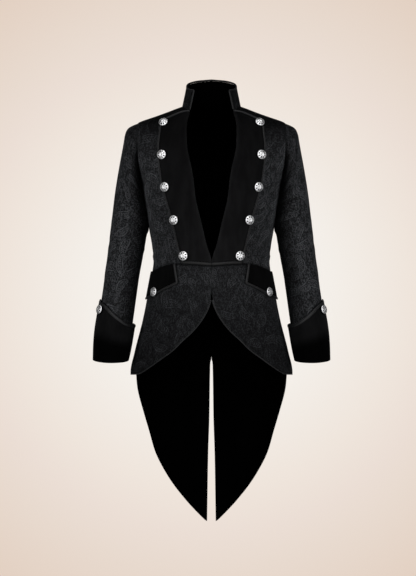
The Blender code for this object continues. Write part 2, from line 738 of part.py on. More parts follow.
def button_mesh(name, shank):
    # A domed openwork button, with its eight holes sunk round the rim, and a shank behind it.
    shape = bmesh.new()
    step = 2 * np.pi / BUTTON_SIDES
    rings = BUTTON_FACE + [ButtonRing(BUTTON_FACE[-1].radius, -shank, 0.0)]
    loops = []
    for ring in rings:
        loop = []
        for k in range(BUTTON_SIDES):
            sink = ring.hole if k % 2 == 0 else 0.0
            x = ring.radius * np.cos(k * step)
            y = ring.radius * np.sin(k * step)
            loop.append(shape.verts.new((x, y, ring.height - sink)))
        loops.append(loop)
    for upper, lower in zip(loops[:-1], loops[1:]):
        for k in range(BUTTON_SIDES):
            following = (k + 1) % BUTTON_SIDES
            shape.faces.new((upper[k], lower[k], lower[following], upper[following]))
    middle = shape.verts.new((0, 0, BUTTON_MIDDLE))
    end = shape.verts.new((0, 0, -shank))
    for k in range(BUTTON_SIDES):
        following = (k + 1) % BUTTON_SIDES
        shape.faces.new((middle, loops[0][k], loops[0][following]))
        shape.faces.new((end, loops[-1][following], loops[-1][k]))
    if shape.calc_volume(signed=True) < 0:
        bmesh.ops.reverse_faces(shape, faces=shape.faces[:])
    mesh = bpy.data.meshes.new(name)
    shape.to_mesh(mesh)
    shape.free()
    mesh.shade_smooth()
    mesh.set_sharp_from_angle(angle=np.radians(BUTTON_CREASE))
    return mesh


def add_button(name, mesh, place, facing, collection, mirrored):
    flip = Vector((-1 if mirrored else 1, 1, 1))
    item = bpy.data.objects.new(name, mesh)
    item.location = Vector(place) * flip
    item.rotation_mode = "QUATERNION"
    item.rotation_quaternion = (Vector(facing) * flip).to_track_quat("Z", "Y")
    collection.objects.link(item)
    return item


def on_body(grid, distance):
    return moved_out(body_surface, grid[..., 0], grid[..., 1], distance)


def beside(edge, inside, reach, around=False):
    # A line beyond an edge, level with it and square to it, away from the grid line inside it.
    if around:
        tangent = np.roll(edge, -1, axis=0) - np.roll(edge, 1, axis=0)
    else:
        tangent = np.gradient(edge, axis=0)
    tangent = tangent / np.linalg.norm(tangent, axis=-1, keepdims=True)
    away = edge - inside
    away = away - tangent * np.sum(away * tangent, axis=-1, keepdims=True)
    away = away / np.linalg.norm(away, axis=-1, keepdims=True)
    return edge + away * reach


def cord_path(lines, reach, bow):
    # One path beyond several edges that meet end to end; each edge is given with its inside line.
    path = []
    for number, (edge, inside) in enumerate(lines):
        beyond = beside(edge, inside, reach)
        if number > 0:
            corner = edge[0]
            path[-1] = path[-1] + beyond[0] - corner
            beyond = beyond[1:]
        path.extend(beyond)
    return rounded(np.array(path), bow)


def add_body(collection, cloth, lining):
    front = front_grid()
    back = back_grid()
    skirt = skirt_grid(front)
    tail = tail_grid(back)
    for side, mirrored in (("left", False), ("right", True)):
        for name, grid in (("front", front), ("back", back), ("skirt", skirt), ("tail", tail)):
            outer = trimmed(on_body(grid, 0.0))
            inner = trimmed(on_body(grid, -CLOTH))
            add_wall(f"{name}_{side}", outer, inner, False, collection, cloth, mirrored)
        for name, grid in (("back_lining", back), ("tail_lining", tail)):
            outer = trimmed(on_body(grid, -CLOTH - LAYER_GAP))
            inner = trimmed(on_body(grid, -CLOTH - LAYER_GAP - LINING))
            add_wall(f"{name}_{side}", outer, inner, False, collection, lining, mirrored)
        add_skirt_cord(side, mirrored, skirt, collection, cloth)
    return front


def add_skirt_cord(side, mirrored, skirt, collection, material):
    # The piped edge, from where the two skirts part, below the closed front, round to the side.
    path = beside(on_body(skirt[0], -CLOTH / 2), on_body(skirt[1], -CLOTH / 2), SKIRT_CORD + LAYER_GAP)
    path = path[path[:, 0] > SKIRT_CORD + SEAM_GAP / 2]
    add_cord(f"skirt_piping_{side}", path, SKIRT_CORD, collection, material, mirrored)


def add_plastrons(front, collection, velvet, satin):
    rows = LOW_ROWS + ARM_ROWS + 1
    grid = front[:rows, :PLASTRON_COLUMNS + 1].copy()
    # The plastron ends just above the waist seam, which leaves room for its lower cord.
    lift = 2 * PLASTRON_CORD + LAYER_GAP
    grid[0, :, 1] = grid[0, :, 1] + lift
    outer = on_body(grid, LAYER_GAP + VELVET)
    inner = on_body(grid, LAYER_GAP)
    outer[..., 0] = np.maximum(outer[..., 0], SEAM_GAP / 2)
    inner[..., 0] = np.maximum(inner[..., 0], SEAM_GAP / 2)
    middle = on_body(grid, LAYER_GAP + PLASTRON_CORD)
    edges = [
        (middle[-1], middle[-2]),
        (middle[::-1, -1], middle[::-1, -2]),
        (middle[0, ::-1], middle[1, ::-1]),
    ]
    path = cord_path(edges, PLASTRON_CORD + LAYER_GAP, CORD_BOW * PLASTRON_CORD)
    path[-1, 0] = PLASTRON_CORD + SEAM_GAP / 2
    for side, mirrored in (("left", False), ("right", True)):
        add_wall(f"plastron_{side}", outer, inner, False, collection, velvet, mirrored)
        add_cord(f"plastron_piping_{side}", path, PLASTRON_CORD, collection, satin, mirrored)


def rounded(path, bow):
    # Replaces each sharp corner of a cord's path by three points on a small bow.
    result = [path[0]]
    for before, corner, after in zip(path[:-2], path[1:-1], path[2:]):
        arrive = corner - before
        leave = after - corner
        arrive_length = np.linalg.norm(arrive)
        leave_length = np.linalg.norm(leave)
        turn = np.dot(arrive, leave) / (arrive_length * leave_length)
        if turn > SHARP_TURN:
            result.append(corner)
            continue
        reach = min(bow, BOW_SHARE * arrive_length, BOW_SHARE * leave_length)
        first = corner - arrive / arrive_length * reach
        last = corner + leave / leave_length * reach
        result.extend([first, first / 4 + corner / 2 + last / 4, last])
    result.append(path[-1])
    return np.array(result)


def add_collar(collection, cloth, lining, satin):
    start = NECKLINE[0].angle
    angles = np.linspace(start, 180, COLLAR_COLUMNS // 2 + 1)
    shares = np.linspace(0, 1, COLLAR_ROWS + 1)
    first, second = np.meshgrid(angles, shares)
    lift = np.array([0, 0, COLLAR_LIFT])
    layers = []
    for distance in (0.0, -CLOTH, -CLOTH - LAYER_GAP, -CLOTH - LAYER_GAP - LINING, -COLLAR_CORD_DEPTH):
        half = collar_points(first, second, distance) + lift
        half[:, -1, 0] = 0.0
        other = half[:, ::-1] * np.array([-1.0, 1.0, 1.0])
        layers.append(np.concatenate([half, other[:, 1:]], axis=1))
    add_wall("collar", layers[0], layers[1], False, collection, cloth)
    add_wall("collar_lining", layers[2], layers[3], False, collection, lining)
    middle = layers[4]
    edges = [
        (middle[:, 0], middle[:, 1]),
        (middle[-1], middle[-2]),
        (middle[::-1, -1], middle[::-1, -2]),
    ]
    path = cord_path(edges, COLLAR_CORD + LAYER_GAP, CORD_BOW * COLLAR_CORD)
    add_cord("collar_piping", path, COLLAR_CORD, collection, satin)


def collar_points(angle, share, distance):
    # The collar moved along its level outward direction.
    across = collar_surface(angle + ANGLE_STEP, share) - collar_surface(angle - ANGLE_STEP, share)
    level = np.stack([across[..., 1], -across[..., 0], 0 * across[..., 0]], axis=-1)
    level = level / np.linalg.norm(level, axis=-1, keepdims=True)
    return collar_surface(angle, share) + level * distance


def add_sleeves(collection, cloth, velvet, satin):
    step = 360 / SLEEVE_COLUMNS
    angles = np.arange(0, 360, step)
    # The second section only rounds the shoulder, so the wall has no points there.
    lengths = np.array([row.along for row in SLEEVE[:1] + SLEEVE[2:]])
    first, second = np.meshgrid(angles, lengths)
    outer = moved_out(sleeve_surface, first, second, 0.0)
    inner = moved_out(sleeve_surface, first, second, -CLOTH)
    # At the armhole both layers end in one upright plane beside the body.
    inner[0, :, 0] = outer[0, :, 0]
    shares = np.linspace(1, 0, CUFF_ROWS + 1)
    around, share = np.meshgrid(angles, shares)
    along = cuff_along(around, share)
    closer = CUFF_CLOSER * share**3 * np.exp(-(folded_angle(around) / CUFF_CLOSER_HALF_ANGLE) ** 2)
    stand = smooth_value(CUFF_STAND, "distance", share) * (1 - closer)
    cuff_outer = moved_out(sleeve_surface, around, along, stand)
    cuff_inner = moved_out(sleeve_surface, around, along, stand - CUFF_CLOTH)
    middle = (cuff_outer + cuff_inner) / 2
    band = beside(middle[0], middle[1], CUFF_CORD + LAYER_GAP, around=True)
    for side, mirrored in (("left", False), ("right", True)):
        add_wall(f"sleeve_{side}", outer, inner, True, collection, cloth, mirrored)
        add_wall(f"cuff_{side}", cuff_outer, cuff_inner, True, collection, velvet, mirrored)
        add_cord(f"cuff_piping_{side}", band, CUFF_CORD, collection, satin, mirrored, closed=True)


def folded_angle(angle):
    # The front half of a sleeve is like its back half.
    return np.where(angle > 180, 360 - angle, angle)


def cuff_along(angle, share):
    # Distance down the sleeve: share 1 is the cuff's top edge, 0 its hem.
    top = smooth_value(CUFF_TOP, "along", folded_angle(angle))
    return SLEEVE_END + (top - SLEEVE_END) * share


def flap_grid():
    angles = np.linspace(FLAP_FRONT_TOP, FLAP_REAR, SIDE_COLUMNS + 1)
    top = waist_line(angles)
    top[:, 1] = top[:, 1] - FLAP_BELOW_WAIST
    bottom = spread(FLAP_EDGE, SIDE_COLUMNS)
    front_edge = straight(bottom[0], top[0], FLAP_ROWS)
    rear_edge = straight(bottom[-1], top[-1], FLAP_ROWS)
    return fill_patch(bottom, top, front_edge, rear_edge)


def add_flaps(collection, velvet, satin):
    grid = flap_grid()
    outer = on_body(grid, FLAP_GAP + FLAP_CLOTH)
    inner = on_body(grid, FLAP_GAP)
    middle = on_body(grid, FLAP_GAP + FLAP_CORD)
    edges = [
        (middle[::-1, 0], middle[::-1, 1]),
        (middle[0], middle[1]),
        (middle[:, -1], middle[:, -2]),
    ]
    path = cord_path(edges, FLAP_CORD + LAYER_GAP, CORD_BOW * FLAP_CORD)
    for side, mirrored in (("left", False), ("right", True)):
        add_wall(f"flap_{side}", outer, inner, False, collection, velvet, mirrored)
        add_cord(f"flap_piping_{side}", path, FLAP_CORD, collection, satin, mirrored)


def facing_at(surface, first, second):
    first = np.array([first], float)
    second = np.array([second], float)
    return (moved_out(surface, first, second, 1.0) - moved_out(surface, first, second, 0.0))[0]


def add_buttons(collection, metal):
    body_mesh = button_mesh("body_button", SHANK_LENGTH)
    cuff_mesh = button_mesh("cuff_button", CUFF_SHANK_LENGTH)
    body_mesh.materials.append(metal)
    cuff_mesh.materials.append(metal)
    for side, mirrored in (("left", False), ("right", True)):
        for number, place in enumerate(FRONT_BUTTONS, start=1):
            angle = body_angle(place.across, place.height)
            facing = facing_at(body_surface, angle, place.height)
            spot = on_body(np.array([[angle, place.height]]), BUTTON_SEAT)[0]
            add_button(f"button_{side}_{number}", body_mesh, spot, facing, collection, mirrored)
        facing = facing_at(body_surface, *FLAP_BUTTON)
        spot = on_body(np.array([FLAP_BUTTON], float), BUTTON_SEAT)[0]
        add_button(f"flap_button_{side}", body_mesh, spot, facing, collection, mirrored)
        facing = facing_at(sleeve_surface, *CUFF_BUTTON)
        around = np.array([CUFF_BUTTON.angle])
        along = np.array([CUFF_BUTTON.along])
        spot = moved_out(sleeve_surface, around, along, CUFF_BUTTON_SEAT)[0]
        add_button(f"cuff_button_{side}", cuff_mesh, spot, facing, collection, mirrored)


def main():
    clear_scene()
    collection = bpy.data.collections.new("tailcoat")
    bpy.context.scene.collection.children.link(collection)
    cloth = make_material("brocade", (0.014, 0.015, 0.017), 0.55, 0.0)
    velvet = make_material("velvet", (0.006, 0.006, 0.007), 0.90, 0.0)
    satin = make_material("satin_piping", (0.022, 0.023, 0.026), 0.40, 0.0)
    lining = make_material("lining", (0.002, 0.002, 0.002), 0.80, 0.0)
    metal = make_material("silver_metal", (0.70, 0.70, 0.72), 0.28, 1.0)
    front = add_body(collection, cloth, lining)
    add_plastrons(front, collection, velvet, satin)
    add_collar(collection, cloth, lining, satin)
    add_sleeves(collection, cloth, velvet, satin)
    add_flaps(collection, velvet, satin)
    add_buttons(collection, metal)


main()
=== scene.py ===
# Looks of the tailcoat: thin cloth shells on the cut of the frame, with woven, velvet and satin finishes.
# Metres, +Z up, the front faces -Y, the wearer's left is at +X.

from math import pi, radians

import bmesh
import bpy
import numpy as np
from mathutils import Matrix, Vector


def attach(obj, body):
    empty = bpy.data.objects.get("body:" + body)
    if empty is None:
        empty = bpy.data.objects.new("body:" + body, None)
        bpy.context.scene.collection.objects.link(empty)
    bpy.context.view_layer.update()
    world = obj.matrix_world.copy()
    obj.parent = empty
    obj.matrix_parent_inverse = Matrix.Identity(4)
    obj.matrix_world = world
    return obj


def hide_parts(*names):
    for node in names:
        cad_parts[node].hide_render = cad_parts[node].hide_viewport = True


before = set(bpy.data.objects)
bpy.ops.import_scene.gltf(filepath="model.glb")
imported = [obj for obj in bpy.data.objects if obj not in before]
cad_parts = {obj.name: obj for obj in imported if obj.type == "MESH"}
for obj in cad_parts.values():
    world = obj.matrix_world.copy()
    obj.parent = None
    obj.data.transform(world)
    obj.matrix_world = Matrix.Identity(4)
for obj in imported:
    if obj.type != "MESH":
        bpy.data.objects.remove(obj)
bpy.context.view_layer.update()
print("frame loaded,", len(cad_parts), "nodes")


def table(names, rows):
    # A short table as one list of numbers for each named column.
    return dict(zip(names.split(), np.array(rows, float).T))


# The cut, as in the frame

cloth = {"body": 0.0020, "lining": 0.0010, "velvet": 0.0020, "cuff": 0.0025, "flap": 0.0025,
         "gap": 0.0003, "flapGap": 0.0009}
lines = {"sideSeam": 104.0, "underarm": -0.190, "shoulderSeam": 90.0, "shoulderTip": -0.0465,
         "seamShare": 0.48, "yoke": -0.0350, "yokeMiddle": (0.0850, -0.0480), "planFloor": -0.1200,
         "planTop": 0.030}
halves = (("left", False), ("right", True))  # the right half is the left one mirrored

bodySections = table("height halfWidth front back square", [
    (-1.160, 0.1860, 0.120, 0.119, 2.20),
    (-0.950, 0.2010, 0.125, 0.130, 2.20),
    (-0.800, 0.2120, 0.128, 0.136, 2.20),
    (-0.720, 0.2175, 0.129, 0.138, 2.20),
    (-0.660, 0.2040, 0.127, 0.136, 2.20),
    (-0.600, 0.1895, 0.125, 0.131, 2.20),
    (-0.550, 0.1795, 0.123, 0.124, 2.20),
    (-0.500, 0.1710, 0.121, 0.115, 2.20),
    (-0.460, 0.1635, 0.119, 0.107, 2.20),
    (-0.420, 0.1565, 0.117, 0.101, 2.20),
    (-0.380, 0.1600, 0.118, 0.101, 2.20),
    (-0.330, 0.1685, 0.121, 0.106, 2.25),
    (-0.255, 0.1810, 0.124, 0.117, 2.30),
    (-0.190, 0.1940, 0.125, 0.124, 2.40),
    (-0.155, 0.2050, 0.123, 0.126, 2.40),
    (-0.120, 0.2130, 0.117, 0.125, 2.40),
    (-0.090, 0.2145, 0.112, 0.120, 2.35),
    (-0.060, 0.2125, 0.104, 0.111, 2.30),
    (-0.0465, 0.2000, 0.099, 0.105, 2.20),
    (-0.042, 0.1900, 0.097, 0.102, 2.20),
    (-0.031, 0.1580, 0.091, 0.096, 2.15),
    (-0.020, 0.1280, 0.083, 0.088, 2.05),
    (-0.0095, 0.1010, 0.075, 0.080, 2.00),
    (0.000, 0.0780, 0.066, 0.072, 2.00),
    (0.022, 0.0640, 0.050, 0.063, 2.00),
    (0.030, 0.0600, 0.046, 0.060, 2.00),
])

# Largest folds, which the frame has too: where, how wide and long, and how deep
bodyFolds = table("angle height halfAngle halfHeight depth", [
    (128.0, -0.86, 7.0, 0.15, 0.0060),
    (147.0, -0.94, 6.0, 0.17, -0.0045),
    (163.0, -0.98, 6.0, 0.20, 0.0050),
    (84.0, -0.66, 7.0, 0.07, 0.0030),
    (112.0, -0.62, 6.0, 0.09, 0.0040),
])
sleeveFolds = table("angle height halfAngle halfHeight depth", [
    (150.0, 0.230, 40.0, 0.016, 0.0035),
    (165.0, 0.285, 38.0, 0.014, -0.0030),
    (120.0, 0.325, 45.0, 0.018, 0.0030),
    (40.0, 0.400, 40.0, 0.022, 0.0025),
    (250.0, 0.300, 45.0, 0.022, 0.0030),
])

# Creases placed one by one: centre, lean from level in degrees, half length, half width and depth
bodyCreases = table("angle height lean length width depth", [
    (49.3, -0.378, 77, 0.048, 0.0032, 0.0014),
    (68.0, -0.150, 52, 0.048, 0.0075, -0.0028),
    (62.0, -0.185, 40, 0.042, 0.0085, 0.0022),
    (74.0, -0.215, 24, 0.040, 0.0080, -0.0020),
    (80.0, -0.262, 14, 0.035, 0.0080, -0.0016),
    (66.0, -0.385, -12, 0.040, 0.0075, -0.0016),
    (84.0, -0.405, -6, 0.038, 0.0065, 0.0018),
    (72.0, -0.428, -10, 0.034, 0.0060, -0.0014),
    (20.0, -0.470, 28, 0.030, 0.0080, -0.0012),
    (30.0, -0.520, 50, 0.045, 0.0100, 0.0014),
    (60.0, -0.590, 80, 0.060, 0.0120, 0.0018),
    (92.0, -0.630, 84, 0.070, 0.0120, -0.0022),
    (112.0, -0.150, -48, 0.045, 0.0085, -0.0026),
    (118.0, -0.190, -36, 0.042, 0.0090, 0.0022),
    (126.0, -0.240, -20, 0.050, 0.0100, -0.0016),
    (118.0, -0.385, 10, 0.042, 0.0080, -0.0020),
    (140.0, -0.400, 6, 0.040, 0.0075, 0.0020),
    (128.0, -0.430, 8, 0.040, 0.0070, -0.0016),
    (160.0, -0.380, -8, 0.036, 0.0080, -0.0014),
    (150.0, -0.070, 34, 0.040, 0.0090, 0.0016),
    (120.0, -0.560, 84, 0.080, 0.0130, -0.0026),
    (152.0, -0.620, 88, 0.100, 0.0140, 0.0026),
    (138.0, -0.760, 86, 0.110, 0.0130, -0.0026),
    (170.0, -0.800, 90, 0.110, 0.0110, -0.0022),
    (120.0, -0.800, 84, 0.060, 0.0110, 0.0022),
])
sleeveCreases = table("angle height lean length width depth", [
    (60.0, 0.075, 62, 0.040, 0.0080, -0.0022),
    (110.0, 0.095, 48, 0.038, 0.0080, -0.0026),
    (135.0, 0.140, 30, 0.034, 0.0080, 0.0024),
    (95.0, 0.190, 22, 0.036, 0.0070, -0.0020),
    (140.0, 0.225, 8, 0.036, 0.0065, -0.0028),
    (60.0, 0.262, -16, 0.036, 0.0075, 0.0020),
    (120.0, 0.262, 14, 0.038, 0.0065, 0.0028),
    (100.0, 0.300, -10, 0.040, 0.0070, -0.0024),
    (40.0, 0.340, 20, 0.038, 0.0080, -0.0020),
    (90.0, 0.372, -18, 0.036, 0.0075, 0.0020),
    (130.0, 0.410, 14, 0.032, 0.0065, -0.0020),
    (70.0, 0.455, 24, 0.034, 0.0070, -0.0018),
    (245.0, 0.110, -50, 0.042, 0.0085, -0.0028),
    (215.0, 0.190, -24, 0.036, 0.0080, 0.0024),
    (250.0, 0.250, 16, 0.040, 0.0070, -0.0028),
    (225.0, 0.330, -12, 0.038, 0.0075, 0.0024),
    (270.0, 0.385, 12, 0.040, 0.0080, -0.0022),
    (300.0, 0.200, 30, 0.040, 0.0090, 0.0018),
    (300.0, 0.440, -16, 0.036, 0.0080, -0.0018),
])

# Edges seen from the front or the back: height and distance from the centre line
openingEdge = table("height across", [
    (-0.4320, 0.0000), (-0.4275, 0.0000), (-0.4130, 0.0026), (-0.3710, 0.0144), (-0.3120, 0.0283),
    (-0.2545, 0.0420), (-0.2070, 0.0475), (-0.1730, 0.0530), (-0.1390, 0.0610), (-0.1095, 0.0650),
    (-0.0715, 0.0655), (-0.0490, 0.0633), (-0.0245, 0.0578), (-0.0163, 0.0604),
])
plastronEdge = table("height across", [
    (-0.4275, 0.0735), (-0.4060, 0.0797), (-0.3530, 0.0922), (-0.2875, 0.1083), (-0.2320, 0.1238),
    (-0.1795, 0.1334), (-0.1480, 0.1366), (-0.1210, 0.1375), (-0.0780, 0.1337), (-0.0525, 0.1316),
])
plastronTop = [
    (0.0578, -0.0245), (0.0760, -0.0262), (0.0968, -0.0347), (0.1164, -0.0441), (0.1316, -0.0525),
]
cutawayEdge = [
    (0.0000, -0.4953), (0.0020, -0.5120), (0.0046, -0.5260), (0.0092, -0.5400), (0.0222, -0.5660),
    (0.0484, -0.6000), (0.0760, -0.6260), (0.1034, -0.6530), (0.1328, -0.6745), (0.1664, -0.6990),
    (0.1953, -0.7165),
]
armholeEdge = table("height across", [
    (-0.1900, 0.1940), (-0.1550, 0.1960), (-0.1155, 0.1975), (-0.0465, 0.2000),
])
ventEdge = table("height across", [
    (-1.1400, 0.0120), (-0.9400, 0.0088), (-0.8580, 0.0060), (-0.7000, 0.0032), (-0.6840, 0.0000),
    (-0.4250, 0.0000),
])

# Lines round the body: angle from the front centre and height
waist = table("angle height", [
    (0.0, -0.4320), (35.0, -0.4275), (50.0, -0.4280), (78.0, -0.4445), (104.0, -0.4460),
    (140.0, -0.4340), (180.0, -0.4250),
])
neckline = table("angle height", [
    (41.0, -0.0163), (64.0, -0.0043), (90.0, 0.0000), (120.0, 0.0090), (150.0, 0.0180), (180.0, 0.0220),
])
collarTop = table("angle height", [
    (41.0, 0.0335), (64.0, 0.0400), (90.0, 0.0490), (120.0, 0.0635), (150.0, 0.0735), (180.0, 0.0770),
])
collarRim = {"halfWidth": 0.0688, "front": 0.0740, "back": 0.0640, "square": 2.5}
hemCorner = (104.0, -0.7225)
tailEdge = [
    (104.0, -0.7225), (104.5, -0.7580), (109.7, -0.8250), (114.9, -0.8810), (119.8, -0.9370),
    (126.7, -0.9830), (134.8, -1.0280), (146.6, -1.0735), (160.0, -1.1090), (171.5, -1.1345),
]
tailTip = -1.1380
flapEdge = [
    (42.5, -0.4745), (57.4, -0.4920), (67.8, -0.5060), (80.0, -0.5130), (90.0, -0.5150), (100.0, -0.5080),
]
flapTop = {"front": 46.6, "rear": 100.0, "below": 0.0010}

sleeveSections = table("along outerX outerZ innerX innerZ middleY halfDepth dip", [
    (0.000, 0.2000, -0.0465, 0.1940, -0.1900, 0.000, 0.0580, 0.000),
    (0.020, 0.2190, -0.0560, 0.1925, -0.1955, 0.000, 0.0600, 0.000),
    (0.040, 0.2317, -0.0627, 0.1885, -0.2015, 0.001, 0.0620, 0.000),
    (0.060, 0.2345, -0.0830, 0.1865, -0.2095, 0.002, 0.0635, 0.000),
    (0.090, 0.2405, -0.1175, 0.1840, -0.2235, 0.003, 0.0645, 0.000),
    (0.125, 0.2480, -0.1570, 0.1810, -0.2415, 0.004, 0.0645, 0.000),
    (0.165, 0.2550, -0.1970, 0.1765, -0.2635, 0.005, 0.0630, 0.000),
    (0.205, 0.2615, -0.2400, 0.1715, -0.2885, 0.005, 0.0610, 0.000),
    (0.255, 0.2680, -0.2950, 0.1668, -0.3245, 0.004, 0.0580, 0.000),
    (0.305, 0.2740, -0.3450, 0.1772, -0.3615, 0.002, 0.0565, 0.000),
    (0.355, 0.2800, -0.3980, 0.1850, -0.4065, -0.001, 0.0550, 0.000),
    (0.405, 0.2865, -0.4520, 0.1940, -0.4560, -0.005, 0.0530, 0.000),
    (0.455, 0.2935, -0.5030, 0.2010, -0.5060, -0.010, 0.0515, 0.000),
    (0.500, 0.3005, -0.5495, 0.2070, -0.5510, -0.014, 0.0500, 0.001),
    (0.560, 0.3095, -0.6120, 0.2150, -0.6100, -0.020, 0.0490, 0.003),
    (0.640, 0.3155, -0.6820, 0.2245, -0.6840, -0.027, 0.0480, 0.006),
])
bodyRadius, sleeveRadius = 0.165, 0.052  # mean ones, for distances along the cloth
sleeveEnd = 0.640
sleeveBlend = 0.060
sleeveRest = {"distance": 0.0003, "bend": 0.0030}  # where the sleeve lies along the body's side
cuffTop = table("angle along", [
    (0.0, 0.4790), (45.0, 0.4900), (90.0, 0.5190), (135.0, 0.5400), (180.0, 0.5450),
])
cuffStand = table("share distance", [(0.00, 0.0030), (0.30, 0.0055), (0.65, 0.0070), (1.00, 0.0078)])
cuffCloser = {"share": 0.35, "halfAngle": 20.0}  # where its outer side lies closer to the sleeve
creaseShape = {"bow": 0.35, "counter": 0.45, "beside": 1.7}  # how much it bows, and the wave next to it
underSleeve = {"angle": 90, "halfAngle": 14, "height": -0.25, "halfHeight": 0.075}  # body without creases
onSide = {"halfShare": 0.22, "along": 0.14, "halfLength": 0.11}  # sleeve without creases
angleStep, lengthStep = 0.2, 0.0005  # degrees and metres, for the way out of a form


def unit(vectors):
    return vectors / np.linalg.norm(vectors, axis=-1, keepdims=True)


def hump(distance, width):
    # 1 on a line, dying out over a width to both sides.
    return np.exp(-(distance / width) ** 2)


def ramp(value, start, end):
    return np.clip((value - start) / (end - start), 0, 1)


def eased(share):
    return share * share * (3 - 2 * share)


def curveAt(rows, column, where):
    # Smooth value of a column along the table's first column, without overshoot.
    spots = next(iter(rows.values()))
    values = rows[column]
    steps = np.diff(spots)
    slopes = np.diff(values) / steps
    product = slopes[1:] * slopes[:-1]
    total = np.where(product > 0, slopes[1:] + slopes[:-1], 1.0)
    inner = np.where(product > 0, 2 * product / total, 0.0)
    tangents = np.concatenate([slopes[:1], inner, slopes[-1:]])
    where = np.clip(where, spots[0], spots[-1])
    cell = np.clip(np.searchsorted(spots, where) - 1, 0, len(spots) - 2)
    t = (where - spots[cell]) / steps[cell]
    start = (2 * t**3 - 3 * t**2 + 1) * values[cell]
    end = (3 * t**2 - 2 * t**3) * values[cell + 1]
    leave = (t**3 - 2 * t**2 + t) * steps[cell] * tangents[cell]
    arrive = (t**3 - t**2) * steps[cell] * tangents[cell + 1]
    return start + end + leave + arrive


def foldDepth(folds, angle, place):
    total = 0.0 * (angle + place)
    for k in range(len(folds["angle"])):
        across = (angle - folds["angle"][k]) / folds["halfAngle"][k]
        along = (place - folds["height"][k]) / folds["halfHeight"][k]
        total = total + folds["depth"][k] * np.exp(-across**2 - along**2)
    return total


def creaseDepth(creases, angle, place, radius):
    # Soft leaning troughs and ridges, each with a faint counter wave beside it.
    total = 0.0 * (angle + place)
    for k in range(len(creases["angle"])):
        sideways = np.radians(angle - creases["angle"][k]) * radius
        upwards = place - creases["height"][k]
        lean = radians(creases["lean"][k])
        along = (sideways * np.cos(lean) + upwards * np.sin(lean)) / creases["length"][k]
        across = (upwards * np.cos(lean) - sideways * np.sin(lean)) / creases["width"][k]
        across = across + creaseShape["bow"] * along**2
        wave = np.exp(-across**2) - creaseShape["counter"] * np.exp(-(across - creaseShape["beside"])**2)
        total = total + creases["depth"][k] * np.exp(-along**2) * wave
    return total


def ovalRadius(angle, halfWidth, front, back, square):
    turn = np.radians(angle)
    depth = np.where(np.cos(turn) > 0, front, back)
    sidePart = (np.abs(np.sin(turn)) / halfWidth) ** square
    depthPart = (np.abs(np.cos(turn)) / depth) ** square
    return (sidePart + depthPart) ** (-1 / square)


def sectionAt(height):
    return [curveAt(bodySections, name, height) for name in ("halfWidth", "front", "back", "square")]


def aroundAxis(angle, radius, height):
    turn = np.radians(angle)
    return np.stack([radius * np.sin(turn), -radius * np.cos(turn), height + 0 * angle], axis=-1)


def bodyForm(angle, height):
    radius = ovalRadius(angle, *sectionAt(height)) + foldDepth(bodyFolds, angle, height)
    return aroundAxis(angle, radius, height)


def bodyLine(line):
    # Places on the body of rows of angle and height.
    return bodyForm(line[..., 0], line[..., 1])


def bodyAngle(across, height, behind=False):
    halfWidth, front, back, square = sectionAt(height)
    depth = np.clip(1 - (np.abs(across) / halfWidth) ** square, 0, 1) ** (1 / square)
    return np.degrees(np.arctan2(across, np.where(behind, -depth * back, depth * front)))


def collarForm(angle, share):
    base = bodyForm(angle, curveAt(neckline, "height", angle))
    rim = aroundAxis(angle, ovalRadius(angle, *collarRim.values()), curveAt(collarTop, "height", angle))
    return base + (rim - base) * np.expand_dims(share, -1)


def armholeLine(angle):
    turn = np.radians(angle)
    middle = (lines["shoulderTip"] + lines["underarm"]) / 2
    height = middle + (lines["shoulderTip"] - lines["underarm"]) / 2 * np.cos(turn)
    return bodyAngle(curveAt(armholeEdge, "across", height), height, np.sin(turn) < 0), height


def bodySide(y, height):
    halfWidth, front, back, square = sectionAt(height)
    inside = np.clip(1 - (np.abs(y) / np.where(y < 0, front, back)) ** square, 0, 1)
    return halfWidth * inside ** (1 / square)


def sleeveForm(angle, along):
    size = {name: curveAt(sleeveSections, name, along) for name in sleeveSections}
    turn = np.radians(angle)
    crease = foldDepth(sleeveFolds, np.mod(angle, 360.0), along)
    grow = np.cos(turn) * (1 + crease / size["halfDepth"])
    x = (size["outerX"] + size["innerX"]) / 2 + grow * (size["outerX"] - size["innerX"]) / 2
    z = (size["outerZ"] + size["innerZ"]) / 2 + grow * (size["outerZ"] - size["innerZ"]) / 2
    z = z - size["dip"] * np.sin(turn)
    y = size["middleY"] - np.sin(turn) * (size["halfDepth"] + crease)
    side = bodySide(y, z) + sleeveRest["distance"]
    x = (x + side + np.sqrt((x - side) ** 2 + sleeveRest["bend"] ** 2)) / 2
    oval = np.stack([x, y, z], axis=-1)
    blend = np.expand_dims(eased(ramp(along, 0, sleeveBlend)), -1)
    seam = bodyForm(*armholeLine(angle))
    return seam * (1 - blend) + oval * blend + np.array([cloth["gap"] / 2, 0, 0])


def movedOut(form, first, second, distance):
    # Points of a form, moved along its outward normal.
    across = form(first + angleStep, second) - form(first - angleStep, second)
    along = form(first, second + lengthStep) - form(first, second - lengthStep)
    return form(first, second) + unit(np.cross(across, along)) * np.expand_dims(distance + 0 * first, -1)


def foldedAngle(angle):
    # The same from 0 to 180 on both sides of a sleeve.
    return 180 - np.abs(np.mod(angle, 360) - 180)


def onBody(grid, distance, calm=1.0):
    angle, height = grid[..., 0], grid[..., 1]
    crease = creaseDepth(bodyCreases, angle, height, bodyRadius) * calm
    covered = hump(angle - underSleeve["angle"], underSleeve["halfAngle"])
    covered = covered * hump(height - underSleeve["height"], underSleeve["halfHeight"])
    return movedOut(bodyForm, angle, height, distance + crease * (1 - covered))


